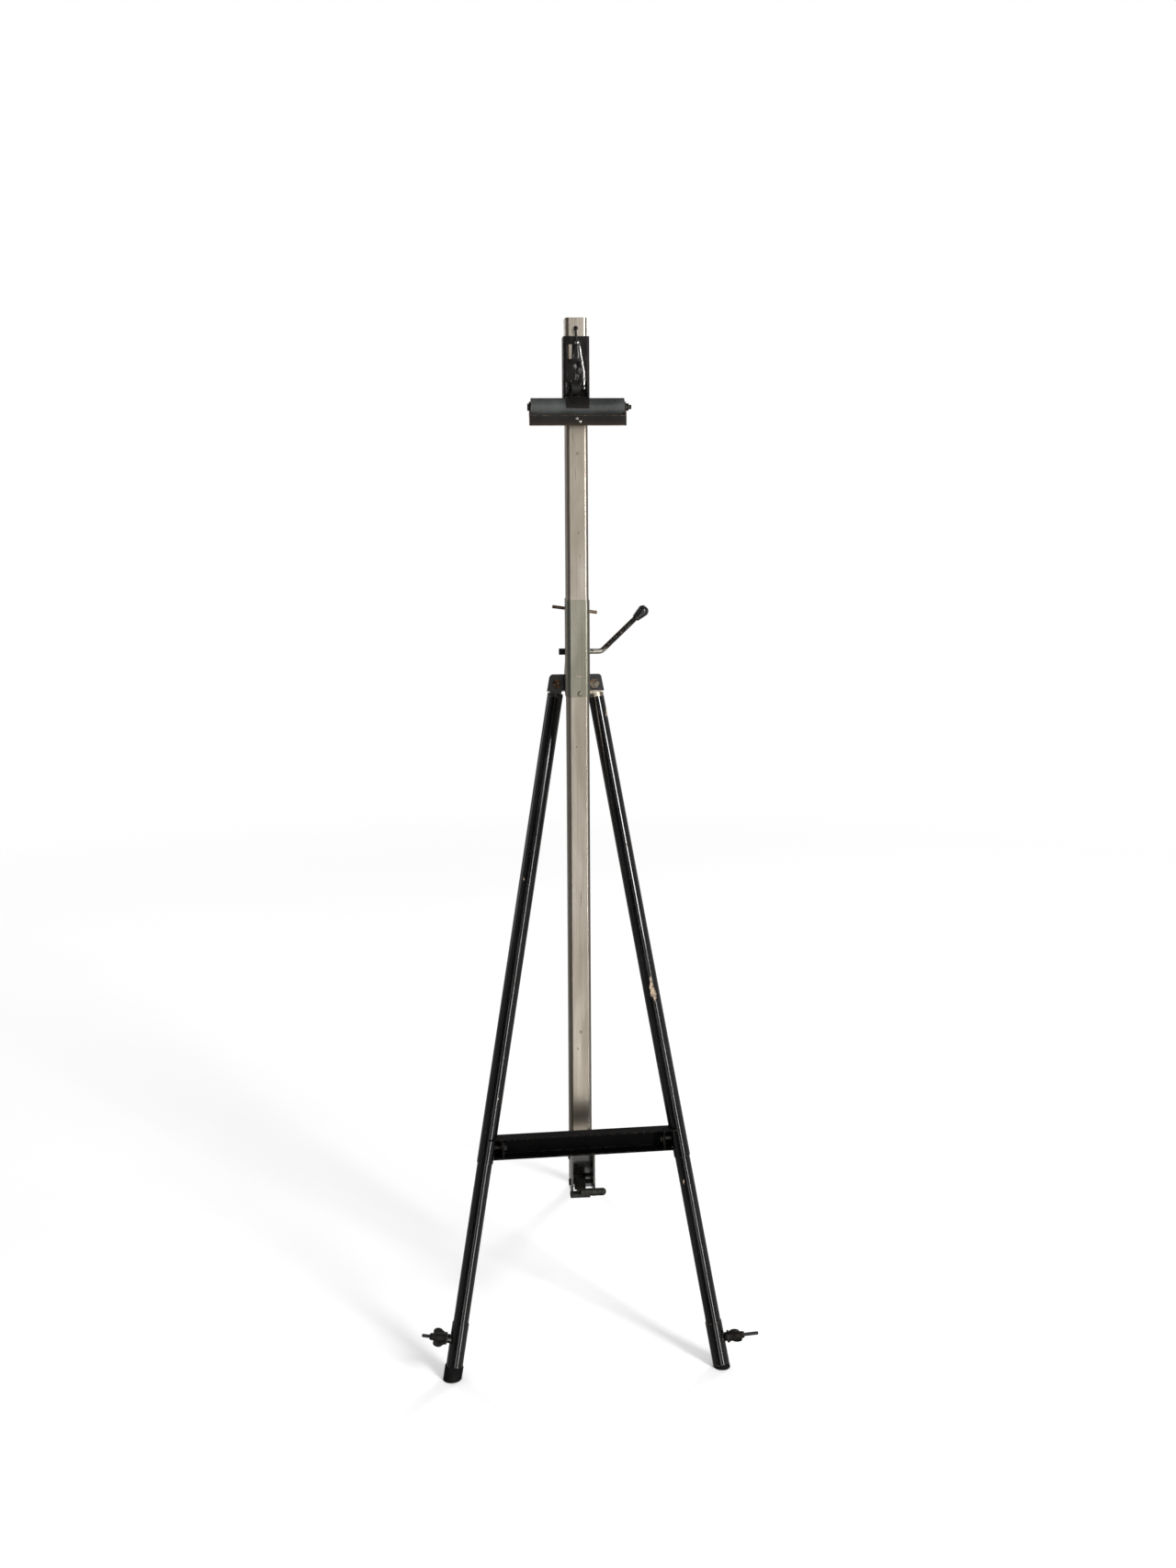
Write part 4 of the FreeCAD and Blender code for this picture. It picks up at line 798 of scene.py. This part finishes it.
def floor_material():
    m = Material("StudioFloor")
    grain = m.noise((3, 3, 3), 3, 0.5)
    m.set(Base_Color=m.mix(grain, (0.90, 0.90, 0.90), (0.93, 0.93, 0.93)))
    m.set(Roughness=0.9, Specular_IOR_Level=0.1)
    far = m.remap(m.length(m.place), *FLOOR_FADE)
    glow = m.node("ShaderNodeEmission")
    m.put(glow, "Color", WHITE)
    m.put(glow, "Strength", 1.0)
    join = m.shader_mix(far, m.shader, glow)
    m.link(join.outputs[0], m.output.inputs["Surface"])
    return m.data


bm = bmesh.new()
bmesh.ops.create_circle(bm, cap_ends=True, cap_tris=False, segments=96, radius=FLOOR_RADIUS)
floor_mesh = bpy.data.meshes.new("studio_floor")
bm.to_mesh(floor_mesh)
bm.free()
floor = bpy.data.objects.new("studio_floor", floor_mesh)
SCENE.collection.objects.link(floor)
wear(floor, floor_material())
floor.location = (0, 0, -FLOOR_DROP)
floor.visible_glossy = False
floor.visible_shadow = False


ROOM_GLOW = 0.006
ROOM_SIDES = (             # axis, where the side starts and is full, and its strength
    ("Z", 0.03, -0.22, 0.01), ("Y", 0.25, 0.95, 0.30),
    ("X", 0.45, 0.95, 0.26), ("X", -0.45, -0.95, 0.16))


def world_light():
    """White to look at, soft white for plain surfaces, and a dim room for reflections."""
    world = Nodes(bpy.data.worlds.new("Studio"), "Generated")
    SCENE.world = world.data
    output = world.node("ShaderNodeOutputWorld")
    path = world.node("ShaderNodeLightPath").outputs
    glow = ROOM_GLOW
    for axis, start, end, strength in ROOM_SIDES:
        side = world.remap(world.axis(axis), start, end, strength)
        glow = world.sum("ADD", side, glow)
    backgrounds = []
    for colour, strength in ((WHITE, 1.0), (WHITE, 0.62), ((1.0, 0.97, 0.94), glow)):
        background = world.node("ShaderNodeBackground")
        world.put(background, "Color", colour)
        world.put(background, "Strength", strength)
        backgrounds.append(background)
    seen, soft, dim = backgrounds
    unseen = world.shader_mix(path["Is Glossy Ray"], soft, dim)
    everything = world.shader_mix(path["Is Camera Ray"], unseen, seen)
    world.link(everything.outputs[0], output.inputs["Surface"])


def soft_box(name, place, aim, width, height, power, colour=WHITE):
    """A rectangular light of this size in metres and power in watts, aimed at a point."""
    light = bpy.data.lights.new(name, "AREA")
    light.shape = "RECTANGLE"
    light.size, light.size_y = width, height
    light.energy = power
    light.color = colour
    made = bpy.data.objects.new(name, light)
    SCENE.collection.objects.link(made)
    made.location = place
    made.rotation_mode = "QUATERNION"
    made.rotation_quaternion = (Vector(aim) - Vector(place)).to_track_quat("-Z", "Y")


world_light()
middle = Vector((MAST_X, MAST_Y, (CAD_BOX[0][2] + CAD_BOX[1][2]) / 2))
soft_box("window_right", middle + Vector((1.80, -2.45, 1.35)), middle, 0.62, 2.2, 95)

# Two upright cards in front, which the mast reflects towards the camera, and a strip that the right
# leg reflects. They reach below the floor, which casts no shadow and shows in no reflection.
for name, offset, height, power in (("front_fill", (0.28, -4.4, 0.05), 5.8, 33),
                                    ("low_card", (0.28, -4.35, -1.95), 1.8, 6)):
    card = Vector((MAST_X + offset[0], MAST_Y + offset[1], offset[2]))
    soft_box(name, card, card + Vector((0, 1, 0)), 1.0, height, power, WARM_WHITE)
strip = Vector((MAST_X + 1.75, MAST_Y - 2.6, -0.75))
soft_box("low_strip", strip, Vector((MAST_X, MAST_Y, strip.z)), 0.22, 3.3, 34)

for name, offset, width, height, power in (("left_fill", (-3.4, 0.9, 0.9), 0.6, 2.0, 6),
                                           ("back_right", (2.0, 2.9, 1.9), 0.8, 2.0, 45),
                                           ("back_left", (-1.9, 3.1, 1.7), 0.7, 1.6, 25)):
    soft_box(name, middle + Vector(offset), middle, width, height, power)



# ---- camera ---------------------------------------------------------------------------------
CAMERA_PLACE = (MAST_X - 0.170, MAST_Y - 2.456, 1.247)
CAMERA_YAW, CAMERA_PITCH, CAMERA_ROLL = (math.radians(a) for a in (4.36, 1.0, -0.34))

camera_data = bpy.data.cameras.new("Camera")
camera_data.sensor_fit = "AUTO"
camera_data.sensor_width = 36.0
camera_data.lens = 37.58
camera_data.clip_start = 0.05
camera_data.clip_end = 100.0
camera_data.shift_y = -0.16
camera = bpy.data.objects.new("Camera", camera_data)
camera.location = CAMERA_PLACE
camera.rotation_mode = "QUATERNION"
level = math.radians(90)
turn = Matrix.Rotation(-CAMERA_YAW, 3, "Z") @ Matrix.Rotation(level - CAMERA_PITCH, 3, "X")
turn = turn @ Matrix.Rotation(CAMERA_ROLL, 3, "Z")
camera.rotation_quaternion = turn.to_quaternion()
SCENE.collection.objects.link(camera)
SCENE.camera = camera

SCENE.view_settings.view_transform = "Standard"
SCENE.view_settings.look = "None"
